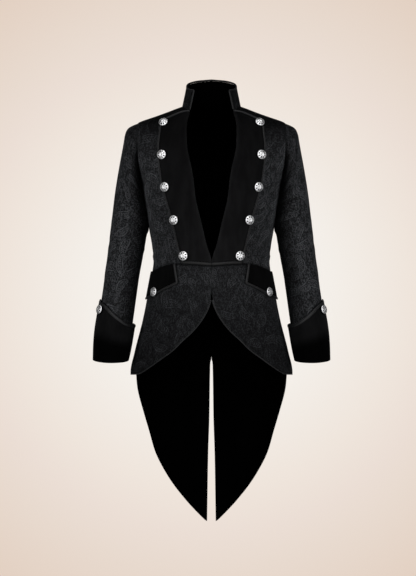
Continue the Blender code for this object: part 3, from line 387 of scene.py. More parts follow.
def onSleeve(angle, along, distance):
    crease = creaseDepth(sleeveCreases, np.mod(angle, 360.0), along, sleeveRadius)
    fade = np.clip(along / 0.05, 0, 1)  # no crease in the armhole seam itself
    resting = hump(1 - foldedAngle(angle) / 180, onSide["halfShare"])
    fade = fade * (1 - resting * hump(along - onSide["along"], onSide["halfLength"]))
    return movedOut(sleeveForm, angle, along, distance + crease * fade)


# Lines and grids on the body, each point an angle and a height

def points(*columns):
    return np.stack(np.broadcast_arrays(*columns), axis=-1).astype(float)


def straight(start, end, cells):
    return np.linspace(np.array(start, float), np.array(end, float), cells + 1)


def lengthsOf(places):
    return np.concatenate([[0], np.cumsum(np.linalg.norm(np.diff(places, axis=0), axis=1))])


def smoothLine(corners, cells):
    # A smooth line through the given points, in equal steps of its length on the body.
    corners = np.array(corners, float)
    track = lengthsOf(bodyLine(corners))
    rows = {"track": track, "angle": corners[:, 0], "height": corners[:, 1]}
    dense = np.linspace(0, track[-1], 8 * cells + 1)
    line = points(curveAt(rows, "angle", dense), curveAt(rows, "height", dense))
    track = lengthsOf(bodyLine(line))
    wanted = np.linspace(0, track[-1], cells + 1)
    return points(np.interp(wanted, track, line[:, 0]), np.interp(wanted, track, line[:, 1]))


def fromFront(pairs):
    return [(bodyAngle(across, height), height) for across, height in pairs]


def edgeLine(rows, heights, behind=False):
    return points(bodyAngle(curveAt(rows, "across", heights), heights, behind), heights)


def aroundLine(rows, angles):
    return points(angles, curveAt(rows, "height", angles))


def fillPatch(bottom, top, left, right):
    # A smooth grid between four edges that meet at its corners.
    u = np.linspace(0, 1, len(bottom))[None, :, None]
    v = np.linspace(0, 1, len(left))[:, None, None]
    corners = (bottom[0] * (1 - u) + bottom[-1] * u) * (1 - v) + (top[0] * (1 - u) + top[-1] * u) * v
    return bottom[None] * (1 - v) + top[None] * v + left[:, None] * (1 - u) + right[:, None] * u - corners


def planHeight(x, y, halvings=30):
    # Angle and height on the shoulders over a place in plan, by halving.
    angle, reach = np.degrees(np.arctan2(x, -y)), np.hypot(x, y)
    low = np.full(np.shape(x), lines["planFloor"])
    high = np.full(np.shape(x), lines["planTop"])
    for step in range(halvings):
        middle = (low + high) / 2
        form = bodyForm(angle, middle)
        outside = np.hypot(form[..., 0], form[..., 1]) > reach
        low = np.where(outside, middle, low)
        high = np.where(outside, high, middle)
    return angle, (low + high) / 2


def withEdges(grid, edges):
    # The edges themselves stay exactly as they were given, so that neighbours meet.
    grid[0], grid[-1], grid[:, 0], grid[:, -1] = edges
    return grid


def fillSeen(edges, behind=False):
    # The same, smooth as seen from the front or the back.
    flat = fillPatch(*[bodyLine(edge)[:, ::2] for edge in edges])
    return withEdges(points(bodyAngle(flat[..., 0], flat[..., 1], behind), flat[..., 1]), edges)


def fillPlan(edges):
    # The same, smooth as seen from above.
    flat = fillPatch(*[bodyLine(edge)[:, :2] for edge in edges])
    return withEdges(points(*planHeight(flat[..., 0], flat[..., 1])), edges)


def projectedLine(start, end, cells, fromAbove, behind=False):
    # Straight as seen from above, or else from the front or the back.
    line = straight(*bodyLine(np.array([start, end], float)), cells)
    if fromAbove:
        line = points(*planHeight(line[:, 0], line[:, 1]))
    else:
        line = points(bodyAngle(line[:, 0], line[:, 2], behind), line[:, 2])
    line[0], line[-1] = start, end
    return line


def stacked(blocks):
    return np.concatenate(blocks[:1] + [block[1:] for block in blocks[1:]])


cells = {"plastron": 20, "side": 30, "low": 44, "arm": 40, "top": 14, "back": 44, "skirt": 56, "tail": 84,
         "sleeve": 84, "collar": 72, "collarRows": 16, "cuffRows": 30, "flap": 34, "flapRows": 18}


def sideLine():
    foot = aroundLine(waist, np.array([lines["sideSeam"]]))[0]
    return straight(foot, (lines["shoulderSeam"], lines["underarm"]), cells["low"])


def frontGrid():
    plastron, side, low, arm, top = [cells[name] for name in ("plastron", "side", "low", "arm", "top")]
    underarm = lines["underarm"]
    lowOpening = edgeLine(openingEdge, np.linspace(openingEdge["height"][0], underarm, low + 1))
    armOpening = edgeLine(openingEdge, np.linspace(underarm, plastronTop[0][1], arm + 1))
    lowOuter = edgeLine(plastronEdge, np.linspace(plastronEdge["height"][0], underarm, low + 1))
    armOuter = edgeLine(plastronEdge, np.linspace(underarm, plastronTop[-1][1], arm + 1))
    seam = sideLine()
    hole = points(*armholeLine(np.linspace(180, 0, arm + top + 1)))
    hole[0] = seam[-1]
    waistInner = aroundLine(waist, np.linspace(0, lowOuter[0, 0], plastron + 1))
    waistOuter = aroundLine(waist, np.linspace(lowOuter[0, 0], lines["sideSeam"], side + 1))
    lowOpening[0], lowOuter[0] = waistInner[0], waistInner[-1]
    chestInner = straight(lowOpening[-1], lowOuter[-1], plastron)
    chestOuter = straight(lowOuter[-1], seam[-1], side)
    topInner = smoothLine(fromFront(plastronTop), plastron)
    topOuter = projectedLine(topInner[-1], hole[arm], side, False)
    armOpening[-1], armOuter[-1] = topInner[0], topInner[-1]
    neck = aroundLine(neckline, np.linspace(neckline["angle"][0], 90, plastron // 2 + 1))
    middle = (90.0, lines["shoulderTip"] * lines["seamShare"])
    seamInner = straight(neck[-1], middle, plastron - plastron // 2)
    seamOuter = straight(middle, (90.0, lines["shoulderTip"]), side)
    rise = projectedLine(topInner[-1], middle, top, True)
    shoulderTop = np.concatenate([neck, seamInner[1:]])
    rows = [
        (fillPatch(waistInner, chestInner, lowOpening, lowOuter),
         fillPatch(waistOuter, chestOuter, lowOuter, seam)),
        (fillSeen((chestInner, topInner, armOpening, armOuter)),
         fillSeen((chestOuter, topOuter, armOuter, hole[:arm + 1]))),
        (fillPlan((topInner, shoulderTop, straight(topInner[0], neck[0], top), rise)),
         fillPlan((topOuter, seamOuter, rise, hole[arm:]))),
    ]
    return stacked([np.concatenate([inner, outer[:, 1:]], axis=1) for inner, outer in rows])


def backGrid():
    arm, top = cells["arm"], cells["top"]
    seamCells = cells["back"] // 2
    neckCells = cells["back"] - seamCells
    seam = sideLine()
    hole = points(*armholeLine(np.linspace(180, 360, arm + top + 1)))
    hole[0], hole[-1] = seam[-1], (90.0, lines["shoulderTip"])
    low = aroundLine(waist, np.linspace(lines["sideSeam"], 180, cells["back"] + 1))
    chest = straight(seam[-1], (180, lines["underarm"]), cells["back"])
    across, height = lines["yokeMiddle"]
    middle = (bodyAngle(across, height, True), height)
    yoke = np.concatenate([projectedLine(hole[arm], middle, seamCells, False, True),
                           projectedLine(middle, (180, lines["yoke"]), neckCells, False, True)[1:]])
    top = np.concatenate([straight((90.0, lines["shoulderTip"]), (90.0, 0), seamCells),
                          aroundLine(neckline, np.linspace(90, 180, neckCells + 1))[1:]])
    return stacked([
        fillPatch(low, chest, seam, straight(low[-1], chest[-1], cells["low"])),
        fillSeen((chest, yoke, hole[:arm + 1], straight(chest[-1], yoke[-1], arm)), True),
        fillPlan((yoke, top, hole[arm:], straight(yoke[-1], top[-1], cells["top"]))),
    ])


def skirtGrid(front):
    hem = smoothLine(fromFront(cutawayEdge) + [hemCorner], cells["plastron"] + cells["side"])
    top = front[0]
    return fillPatch(hem, top, *[straight(hem[end], top[end], cells["skirt"]) for end in (0, -1)])


def tailGrid(back):
    top = back[0]
    seamRows = cells["tail"] // 3
    seam = straight(hemCorner, top[0], seamRows)
    edge = smoothLine(tailEdge, cells["tail"] - seamRows)[::-1]
    outer = np.concatenate([edge, seam[1:]])
    inner = edgeLine(ventEdge, np.linspace(tailTip, top[-1, 1], cells["tail"] + 1), True)
    return fillPatch(straight(edge[0], inner[0], cells["back"]), top, outer, inner)


def flapGrid():
    top = aroundLine(waist, np.linspace(flapTop["front"], flapTop["rear"], cells["flap"] + 1))
    top[:, 1] = top[:, 1] - flapTop["below"]
    bottom = smoothLine(flapEdge, cells["flap"])
    return fillPatch(bottom, top, *[straight(bottom[end], top[end], cells["flapRows"]) for end in (0, -1)])


front = frontGrid()
back = backGrid()
skirt = skirtGrid(front)
tail = tailGrid(back)
print("cut laid out")


# Materials

socketNames = {"roughness": "Roughness", "metallic": "Metallic", "specular": "Specular IOR Level",
               "sheen": "Sheen Weight", "sheenRoughness": "Sheen Roughness", "sheenTint": "Sheen Tint"}


def plug(tree, socket, value):
    if isinstance(value, bpy.types.NodeSocket):
        tree.links.new(value, socket)
    else:
        socket.default_value = value


def addNode(tree, kind, inputs=None, **settings):
    made = tree.nodes.new(kind)
    for name, value in settings.items():
        setattr(made, name, value)
    for name, value in (inputs or {}).items():
        plug(tree, made.inputs[name], value)
    return made


def calc(tree, operation, *values, kind="ShaderNodeMath"):
    made = addNode(tree, kind, operation=operation)
    for socket, value in zip(made.inputs, values):
        plug(tree, socket, value)
    return made.outputs[0]


def vectorCalc(tree, operation, *values):
    return calc(tree, operation, *values, kind="ShaderNodeVectorMath")


def ease(tree, value, low, high):
    made = addNode(tree, "ShaderNodeMapRange", {"Value": value, "From Min": low, "From Max": high},
                   interpolation_type="SMOOTHSTEP")
    return made.outputs["Result"]


def mixColour(tree, factor, first, second):
    made = addNode(tree, "ShaderNodeMix", data_type="RGBA")
    for number, value in ((0, factor), (6, first), (7, second)):
        plug(tree, made.inputs[number], value)
    return made.outputs[2]


def noise(tree, place, scale, detail, roughness=0.5):
    return addNode(tree, "ShaderNodeTexNoise", {"Vector": place, "Scale": scale, "Detail": detail,
                                                "Roughness": roughness}).outputs


def stretched(tree, place, scale):
    return addNode(tree, "ShaderNodeMapping", {"Vector": place, "Scale": scale}).outputs[0]


def axesOf(tree, place):
    return addNode(tree, "ShaderNodeSeparateXYZ", {"Vector": place}).outputs


def newMaterial(name, **shaderValues):
    material = bpy.data.materials.new(name)
    material.use_nodes = True
    shader = material.node_tree.nodes["Principled BSDF"]
    for socket, value in shaderValues.items():
        shader.inputs[socketNames[socket]].default_value = value
    return material, material.node_tree, shader


def weavePlace(tree):
    # The piece's own flat map, in metres of cloth.
    return addNode(tree, "ShaderNodeUVMap", uv_map="weave").outputs["UV"]


def toneMultiplied(tree, colour):
    # The vertex attribute tone darkens or lifts the cloth: mostly painted shade and painted light, set
    # piece by piece.
    tone = addNode(tree, "ShaderNodeAttribute", attribute_name="tone", attribute_type="GEOMETRY")
    parts = {"Vector": colour, "Scale": tone.outputs["Fac"]}
    return addNode(tree, "ShaderNodeVectorMath", parts, operation="SCALE").outputs[0]


def addBump(tree, shader, strength, distance, height):
    bump = addNode(tree, "ShaderNodeBump", {"Strength": strength, "Distance": distance, "Height": height})
    plug(tree, shader.inputs["Normal"], bump.outputs[0])


brocadeFinish = {
    "ground": (0.0040, 0.0041, 0.0044, 1.0), "figure": (0.0700, 0.0727, 0.0785, 1.0),
    "driftScale": 16.0, "drift": (0.016, 0.016, 0.0),
    "leafCells": 19.0, "leafScatter": 0.60, "leafReach": 0.0310, "leafWidth": 0.0175, "leafBend": 13.0,
    "leafSizes": (0.35, 0.75), "leafBlade": (0.92, 1.0), "leafRim": (0.70, 0.80), "leafCore": (0.52, 0.60),
    "leafRoom": (1.05, 1.30), "leafVein": (0.0004, 0.0011), "hatchPitch": 0.0056, "hatchSlant": 0.9,
    "scrollCells": 58.0, "scrollScatter": 0.85, "scrollRings": 2.2, "scrollStrength": 0.50,
    "dotCells": 210.0, "dotStrength": 0.50,
    "wearScale": 60.0, "wearStretch": (2.4, 1.0, 1.0), "wearKept": 0.20, "wearLift": 0.16,
    "roughness": 0.66, "figureGloss": -0.22, "threadPitch": 0.0011, "figureHeight": 0.8,
    "threadHeight": 0.25, "bumpStrength": 0.7, "bump": 0.00022,
}


def scattered(tree, place, count, scatter):
    # The cell at each place, and the place as seen from the middle of its cell.
    cell = addNode(tree, "ShaderNodeTexVoronoi", {"Vector": place, "Scale": count, "Randomness": scatter},
                   voronoi_dimensions="2D").outputs
    return cell, vectorCalc(tree, "SUBTRACT", place, cell["Position"])


def leafFigure(tree, place, look):
    # Curved leaves and drops at any turn, one to a cell: rim, vein and slanting hatch.
    cell, local = scattered(tree, place, look["leafCells"], look["leafScatter"])
    chance = addNode(tree, "ShaderNodeSeparateColor", {"Color": cell["Color"]}).outputs
    turned = addNode(tree, "ShaderNodeVectorRotate", rotation_type="Z_AXIS",
                     inputs={"Vector": local, "Angle": calc(tree, "MULTIPLY", chance["Red"], 2 * pi)})
    axes = axesOf(tree, turned.outputs[0])
    x, y = axes["X"], axes["Y"]
    size = calc(tree, "MULTIPLY_ADD", chance["Green"], *look["leafSizes"])
    t = calc(tree, "DIVIDE", x, calc(tree, "MULTIPLY", look["leafReach"], size))  # -1 to 1 along it
    bow = calc(tree, "MULTIPLY", calc(tree, "MULTIPLY", x, x), look["leafBend"])
    across = calc(tree, "ABSOLUTE", calc(tree, "ADD", y, calc(tree, "SUBTRACT", bow, 0.003)))
    blunt = calc(tree, "SQRT", calc(tree, "MAXIMUM", calc(tree, "SUBTRACT", 1.0, t), 0.0))
    point = calc(tree, "MAXIMUM", calc(tree, "MULTIPLY_ADD", t, 0.5, 0.5), 0.0001)
    point = calc(tree, "POWER", point, 1.15)
    width = calc(tree, "MULTIPLY", blunt, point)
    width = calc(tree, "MULTIPLY_ADD", width, 1.35 * look["leafWidth"], 0.00001)  # never nothing
    share = calc(tree, "DIVIDE", across, width)
    blade = calc(tree, "SUBTRACT", 1.0, ease(tree, share, *look["leafBlade"]))
    rim = calc(tree, "MULTIPLY", blade, ease(tree, share, *look["leafRim"]))
    core = calc(tree, "SUBTRACT", 1.0, ease(tree, share, *look["leafCore"]))
    slant = calc(tree, "ADD", x, calc(tree, "MULTIPLY", across, look["hatchSlant"]))
    stripes = calc(tree, "SINE", calc(tree, "MULTIPLY", slant, 2 * pi / look["hatchPitch"]))
    hatch = calc(tree, "MULTIPLY", core, ease(tree, stripes, -0.05, 0.35))
    hatch = calc(tree, "MULTIPLY", hatch, ease(tree, across, *look["leafVein"]))
    return calc(tree, "MAXIMUM", rim, hatch), ease(tree, share, *look["leafRoom"])


def scrollFigure(tree, place, look):
    # Small curls between the leaves.
    cell, local = scattered(tree, place, look["scrollCells"], look["scrollScatter"])
    axes = axesOf(tree, local)
    turn = calc(tree, "ARCTAN2", axes["Y"], axes["X"])
    rings = calc(tree, "MULTIPLY_ADD", cell["Distance"], 2 * pi * look["scrollRings"], turn)
    curl = ease(tree, calc(tree, "SINE", rings), 0.15, 0.75)
    fade = calc(tree, "SUBTRACT", 1.0, ease(tree, cell["Distance"], 0.42, 0.62))
    return calc(tree, "MULTIPLY", curl, fade)


def threadRelief(tree, uv, pitch):
    # A fine twill: slanting ridges broken along their length.
    axes = axesOf(tree, uv)
    slant = calc(tree, "ADD", axes["X"], axes["Y"])
    ridge = calc(tree, "SINE", calc(tree, "MULTIPLY", slant, 2 * pi / pitch))
    broken = calc(tree, "SINE", calc(tree, "MULTIPLY", axes["X"], 2 * pi / (1.7 * pitch)))
    return calc(tree, "MULTIPLY_ADD", broken, 0.35, ridge)


def brocadeMaterial(name, look, strength):
    material, tree, shader = newMaterial(name, specular=0.03, sheen=0.0)
    uv = weavePlace(tree)
    drift = noise(tree, uv, look["driftScale"], 2.0)["Color"]
    place = vectorCalc(tree, "MULTIPLY_ADD", drift, look["drift"], uv)
    leaf, free = leafFigure(tree, place, look)
    scroll = calc(tree, "MULTIPLY", scrollFigure(tree, place, look), free)
    figure = calc(tree, "MAXIMUM", leaf, calc(tree, "MULTIPLY", scroll, look["scrollStrength"]))
    dots = addNode(tree, "ShaderNodeTexVoronoi", {"Vector": place, "Scale": look["dotCells"]},
                   voronoi_dimensions="2D").outputs["Distance"]
    specks = calc(tree, "MULTIPLY", ease(tree, dots, 0.45, 0.15), look["dotStrength"])
    figure = calc(tree, "MAXIMUM", figure, specks)
    wear = noise(tree, stretched(tree, uv, look["wearStretch"]), look["wearScale"], 5.0, 0.75)["Fac"]
    patchy = ease(tree, wear, 0.34, 0.66)
    kept = calc(tree, "MULTIPLY_ADD", patchy, 1 - look["wearKept"], look["wearKept"])
    figure = calc(tree, "MULTIPLY_ADD", patchy, look["wearLift"], calc(tree, "MULTIPLY", figure, kept))
    figure = calc(tree, "MULTIPLY", figure, strength)
    colour = mixColour(tree, figure, look["ground"], look["figure"])
    plug(tree, shader.inputs["Base Color"], toneMultiplied(tree, colour))
    plug(tree, shader.inputs["Roughness"],
         calc(tree, "MULTIPLY_ADD", figure, look["figureGloss"], look["roughness"]))
    thread = calc(tree, "MULTIPLY", threadRelief(tree, uv, look["threadPitch"]), look["threadHeight"])
    height = calc(tree, "MULTIPLY_ADD", figure, look["figureHeight"], thread)
    addBump(tree, shader, look["bumpStrength"], look["bump"], height)
    return material


velvetFinish = {"dark": (0.0040, 0.0040, 0.0042, 1.0), "light": (0.0064, 0.0064, 0.0067, 1.0),
                "sheenTint": (0.030, 0.030, 0.033, 1.0), "stretch": (3.0, 1.0, 1.0), "streakScale": 14.0,
                "pileScale": 1400.0, "bump": 0.0006}


def velvetMaterial(look):
    material, tree, shader = newMaterial("velvet", roughness=0.95, specular=0.02, sheen=0.30,
                                         sheenRoughness=0.30, sheenTint=look["sheenTint"])
    uv = weavePlace(tree)
    streaks = noise(tree, stretched(tree, uv, look["stretch"]), look["streakScale"], 4.0, 0.6)["Fac"]
    pile = noise(tree, uv, look["pileScale"], 1.0)["Fac"]
    colour = mixColour(tree, ease(tree, streaks, 0.32, 0.70), look["dark"], look["light"])
    plug(tree, shader.inputs["Base Color"], toneMultiplied(tree, colour))
    addBump(tree, shader, 0.4, look["bump"], calc(tree, "MULTIPLY_ADD", pile, 0.5, streaks))
    return material


satinFinish = {"dark": (0.0085, 0.0087, 0.0093, 1.0), "light": (0.0190, 0.0193, 0.0205, 1.0),
               "sheenTint": (0.5, 0.5, 0.55, 1.0), "ribPitch": 0.0016, "ribSlant": 0.8, "grainScale": 60.0,
               "bump": 0.0002}


def satinMaterial(look):
    material, tree, shader = newMaterial("satinPiping", roughness=0.38, specular=0.22, sheen=0.05,
                                         sheenRoughness=0.4, sheenTint=look["sheenTint"])
    uv = weavePlace(tree)
    axes = axesOf(tree, uv)
    slant = calc(tree, "MULTIPLY_ADD", axes["X"], look["ribSlant"], axes["Y"])
    rib = calc(tree, "SINE", calc(tree, "MULTIPLY", slant, 2 * pi / look["ribPitch"]))
    grain = noise(tree, uv, look["grainScale"], 3.0)["Fac"]
    colour = mixColour(tree, grain, look["dark"], look["light"])
    plug(tree, shader.inputs["Base Color"], toneMultiplied(tree, colour))
    addBump(tree, shader, 0.35, look["bump"], calc(tree, "ADD", rib, grain))
    return material


liningFinish = {"dark": (0.00005, 0.00005, 0.00005, 1.0), "light": (0.00020, 0.00020, 0.00021, 1.0),
                "grainScale": 30.0, "threadPitch": 0.0007, "bump": 0.0001}


def liningMaterial(look):
    material, tree, shader = newMaterial("lining", specular=0.003, sheen=0.0)
    uv = weavePlace(tree)
    grain = noise(tree, uv, look["grainScale"], 4.0)["Fac"]
    plug(tree, shader.inputs["Base Color"], mixColour(tree, grain, look["dark"], look["light"]))
    plug(tree, shader.inputs["Roughness"], calc(tree, "MULTIPLY_ADD", grain, 0.2, 0.5))
    addBump(tree, shader, 0.2, look["bump"], threadRelief(tree, uv, look["threadPitch"]))
    return material


silverFinish = {"bright": (0.95, 0.95, 0.96, 1.0), "tarnish": (0.80, 0.80, 0.81, 1.0), "wearScale": 420.0,
                "roughness": 0.34, "tarnishRoughness": 0.12, "bump": 0.0001,
                "hollow": (0.004, 0.004, 0.004, 1.0), "holeMottle": (0.022, 0.022, 0.022, 1.0),
                "holeMottleScale": 700.0}


def silverMaterials(look):
    bright, tree, shader = newMaterial("silverFace", metallic=1.0)
    wear = noise(tree, addNode(tree, "ShaderNodeTexCoord").outputs["Object"], look["wearScale"], 4.0)["Fac"]
    tarnish = ease(tree, wear, 0.42, 0.66)
    plug(tree, shader.inputs["Base Color"], mixColour(tree, tarnish, look["bright"], look["tarnish"]))
    plug(tree, shader.inputs["Roughness"],
         calc(tree, "MULTIPLY_ADD", tarnish, look["tarnishRoughness"], look["roughness"]))
    addBump(tree, shader, 0.3, look["bump"], wear)
    # The sunk faces of each hole are near black: painted shade in the hole together with the black cloth
    # behind it, mottled a little lighter.
    hollow, tree, shader = newMaterial("silverHollow", metallic=0.1, roughness=0.8, specular=0.05)
    holeMottle = noise(tree, addNode(tree, "ShaderNodeTexCoord").outputs["Object"], look["holeMottleScale"], 2.0)["Fac"]
    plug(tree, shader.inputs["Base Color"], mixColour(tree, holeMottle, look["hollow"], look["holeMottle"]))
    return bright, hollow


brocade = brocadeMaterial("brocade", brocadeFinish, 0.62)
sleeveBrocade = brocadeMaterial("sleeveBrocade", brocadeFinish, 1.30)
velvet = velvetMaterial(velvetFinish)
satin = satinMaterial(satinFinish)
lining = liningMaterial(liningFinish)
silverFace, silverHollow = silverMaterials(silverFinish)
print("materials ready")


# Making pieces

def mirrorShape(shape):
    bmesh.ops.scale(shape, verts=shape.verts, vec=(-1, 1, 1))
    bmesh.ops.reverse_faces(shape, faces=shape.faces)


def newObject(name, shape):
    mesh = bpy.data.meshes.new(name)
    shape.to_mesh(mesh)
    shape.free()
    return bpy.data.objects.new(name, mesh)


def finishPiece(piece, node, materials):
    for material in materials:
        piece.data.materials.append(material)
    bpy.context.scene.collection.objects.link(piece)
    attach(piece, "root")
    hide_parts(node)
    return piece


def quadArea(places):
    first = places[1:, 1:] - places[:-1, :-1]
    second = places[1:, :-1] - places[:-1, 1:]
    return np.linalg.norm(np.cross(first, second), axis=-1).sum() / 2


def addModifier(piece, kind, **settings):
    made = piece.modifiers.new(kind.title(), kind)
    for name, value in settings.items():
        setattr(made, name, value)
    return made


def placedGrid(places, weave, tones, closed, mirrored):
    # A flat bmesh grid whose points are laid on the given places, with its weave map and tone.
    rows, columns = places.shape[:2]
    shape = bmesh.new()
    weaveLayer = shape.loops.layers.uv.new("weave")
    toneLayer = shape.verts.layers.float.new("tone")
    bmesh.ops.create_grid(shape, x_segments=columns - 1, y_segments=rows - 1, size=0.5)
    spots = {}
    for vert in shape.verts:
        j = round((vert.co.x + 0.5) * (columns - 1))
        i = round((vert.co.y + 0.5) * (rows - 1))
        spots[vert.index] = (i, j)
    for face in shape.faces:
        face.smooth = True
        for loop in face.loops:
            loop[weaveLayer].uv = weave[spots[loop.vert.index]]
    for vert in shape.verts:
        i, j = spots[vert.index]
        vert.co = places[i, j]
        vert[toneLayer] = tones[i, j]
    if mirrored:
        mirrorShape(shape)
    if closed:
        bmesh.ops.remove_doubles(shape, verts=shape.verts, dist=0.00002)
    return shape


otherHalf = np.array([0.371, 0.113])  # the right half is cut from another place in the cloth
leastShare = 0.301  # of the rectangle round a cut


def shellPiece(name, node, places, weave, tones, look, mirrored, closed=False):
    # A thin cloth shell on its own outer points, its wall turned inwards.
    weave = weave + otherHalf if mirrored else weave
    piece = newObject(name, placedGrid(places, weave, tones, closed, mirrored))
    addModifier(piece, "SOLIDIFY", thickness=look["wall"], offset=-1.0, material_offset=look["inside"],
                material_offset_rim=0, use_even_offset=False)
    addModifier(piece, "BEVEL", width=0.30 * look["wall"], segments=2, limit_method="ANGLE",
                angle_limit=radians(55), harden_normals=False)
    finishPiece(piece, node, look["materials"])
    width = max(lengthsOf(row)[-1] for row in places)
    length = max(lengthsOf(places[:, j])[-1] for j in range(places.shape[1]))
    area = min(quadArea(places), width * length)
    area = max(area, leastShare * width * length)


def borderDistance(places, side):
    # How far each point lies from one border, measured along its own row or column.
    if side in ("left", "right"):
        steps = np.linalg.norm(np.diff(places, axis=1), axis=-1)
        track = np.concatenate([np.zeros((len(places), 1)), np.cumsum(steps, axis=1)], axis=1)
        return track if side == "left" else track[:, -1:] - track
    steps = np.linalg.norm(np.diff(places, axis=0), axis=-1)
    track = np.concatenate([np.zeros((1, places.shape[1])), np.cumsum(steps, axis=0)])
    return track if side == "bottom" else track[-1:] - track


def seamDip(places, seams, depth=0.0009, width=0.0050):
    # Cloth sinks towards a sewn seam.
    total = np.zeros(places.shape[:2])
    for side in seams:
        total = np.maximum(total, hump(borderDistance(places, side), width))
    return -depth * total


def bodyWeave(grid):
    return points(np.radians(grid[..., 0]) * bodyRadius, grid[..., 1])


# Body: fronts, backs, skirts, tails and the linings that show

bodyLook = {
    "wall": cloth["body"], "inside": 1, "slot": "brocade", "materials": [brocade, lining], "held": "draped",
    "chest": 1.42, "side": 0.45, "skirtFade": 0.64, "shoulder": 0.90, "armholeStrip": 0.45,
    "seamDark": 0.80, "seamWidth": 0.0034, "frontEdge": 0.40, "hemLight": 0.35, "hemDark": 0.55,
    "calm": 0.014, "sideReach": (0.09, 0.17), "waistReach": (-0.47, -0.44), "skirtReach": (-0.44, -0.70),
    "shoulderReach": (-0.15, -0.05), "edgeWidth": 0.003, "stripPlace": 0.0065, "stripWidth": 0.0028,
    "dart": ((0.1118, -0.3400), (0.0972, -0.4217)), "dartTone": 0.28, "dartWidth": 0.0045,
}
liningLook = {"wall": cloth["lining"], "inside": 0, "slot": "lining", "materials": [lining],
              "held": "draped"}


def bodyTone(places, name):
    # Painted shade and light: the skirts darken towards the hem and the shoulders towards their top, the
    # sides above the waist are painted lighter, and seams lie in painted shadow.
    x, z = places[..., 0], places[..., 2]
    # Painted light on the sides above the waist.
    sideways = ramp(x, *bodyLook["sideReach"]) * ramp(z, *bodyLook["waistReach"])
    tone = bodyLook["chest"] * (1 + bodyLook["side"] * sideways)
    tone = tone * (1 - bodyLook["skirtFade"] * ramp(z, *bodyLook["skirtReach"]))
    tone = tone * (1 - bodyLook["shoulder"] * ramp(z, *bodyLook["shoulderReach"]))
    if name == "front":
        # Painted highlight: a lighter line along the dart.
        (topX, topZ), (lowX, lowZ) = bodyLook["dart"]
        beside = x - topX - (lowX - topX) * ramp(z, topZ, lowZ)
        dart = hump(beside, bodyLook["dartWidth"]) * ramp(z, topZ, topZ - 0.02)
        tone = tone * (1 + bodyLook["dartTone"] * dart)
    if name in armholeSide:
        # Painted highlight in a strip beside the armhole, with painted shade right at its seam.
        hole = borderDistance(places, armholeSide[name])
        width = bodyLook["stripWidth"]
        strip = hump(hole - bodyLook["stripPlace"], width) - 0.9 * hump(hole, width)
        underarm = lines["underarm"]
        beside = ramp(z, underarm, underarm + 0.02) * ramp(z, -0.055, -0.075)
        tone = tone * (1 + bodyLook["armholeStrip"] * strip * beside)
    if name == "skirt":
        # Painted highlight along the front edge, and a painted highlight with a painted shadow line along
        # the hem.
        edge = borderDistance(places, "left") - bodyLook["edgeWidth"]
        tone = tone * (1 + bodyLook["frontEdge"] * hump(edge, bodyLook["edgeWidth"]))
        hem = borderDistance(places, "bottom")
        tone = tone * (1 + bodyLook["hemLight"] * hump(hem - 0.003, 0.002)
                       - bodyLook["hemDark"] * hump(hem - 0.0075, 0.002))
    seam = borderDistance(places, "bottom" if name in armholeSide else "top")
    return tone * (1 - bodyLook["seamDark"] * hump(seam, bodyLook["seamWidth"]))


def calmAtArmhole(places, name):
    # Creases die out towards the armhole and the side seam, so that the sleeve meets the body.
    if name not in armholeSide:
        return 1.0
    return 1 - hump(borderDistance(places, armholeSide[name]), bodyLook["calm"])


armholeSide = {"front": "right", "back": "left"}
bodyPieces = [
    ("front", front, ("bottom", "right", "top")),
    ("back", back, ("bottom", "left", "right", "top")),
    ("skirt", skirt, ("top", "right")),
    ("tail", tail, ("top",)),
]
for side, mirrored in halves:
    for name, grid, seams in bodyPieces:
        plain = bodyLine(grid)
        places = onBody(grid, seamDip(plain, seams), calmAtArmhole(plain, name))
        shellPiece(f"{name}Cloth_{side}", f"{name}_{side}", places, bodyWeave(grid), bodyTone(plain, name),
                   bodyLook, mirrored)
    for name, grid in (("back", back), ("tail", tail)):
        places = onBody(grid, -cloth["body"] - cloth["gap"], calmAtArmhole(bodyLine(grid), name))
        shellPiece(f"{name}Inside_{side}", f"{name}_lining_{side}", places, bodyWeave(grid),
                   np.ones(grid.shape[:2]), liningLook, mirrored)
print("body sewn")


# Collar

collarLook = {
    "wall": cloth["body"], "inside": 1, "slot": "brocade", "materials": [brocade, lining], "held": "draped",
    "cordWidth": 0.0024, "cordHeight": 0.0021, "cordDepth": 0.0015, "mapRadius": 0.066, "mapHeight": 0.060,
    "tone": 0.36, "tuck": -0.06, "cordTone": 0.60, "otherPlace": 0.8,
}


def collarPlaces(distance, start=0.0):
    half = np.linspace(neckline["angle"][0], 180, cells["collar"] // 2 + 1)
    angle, share = np.meshgrid(half, np.linspace(start, 1, cells["collarRows"] + 1))
    across = collarForm(angle + angleStep, share) - collarForm(angle - angleStep, share)
    level = np.stack([across[..., 1], -across[..., 0], 0 * angle], axis=-1)
    places = collarForm(angle, share) + unit(level) * distance
    places[:, -1, 0] = 0.0
    places = np.concatenate([places, (places[:, ::-1] * np.array([-1.0, 1.0, 1.0]))[:, 1:]], axis=1)
    turn = np.concatenate([angle, 360 - angle[:, ::-1][:, 1:]], axis=1)
    share = np.concatenate([share, share[:, 1:]], axis=1)
    return places, points(np.radians(turn) * collarLook["mapRadius"], share * collarLook["mapHeight"])


places, weave = collarPlaces(0.0, collarLook["tuck"])
tones = np.full(places.shape[:2], collarLook["tone"])
shellPiece("collarCloth", "collar", places, weave + collarLook["otherPlace"], tones, collarLook, False)
places, weave = collarPlaces(-cloth["body"] - cloth["gap"], collarLook["tuck"])
shellPiece("collarInside", "collar_lining", places, weave, np.ones(places.shape[:2]), liningLook, False)


# Bands and cords along edges

bandMapRadius = 0.003


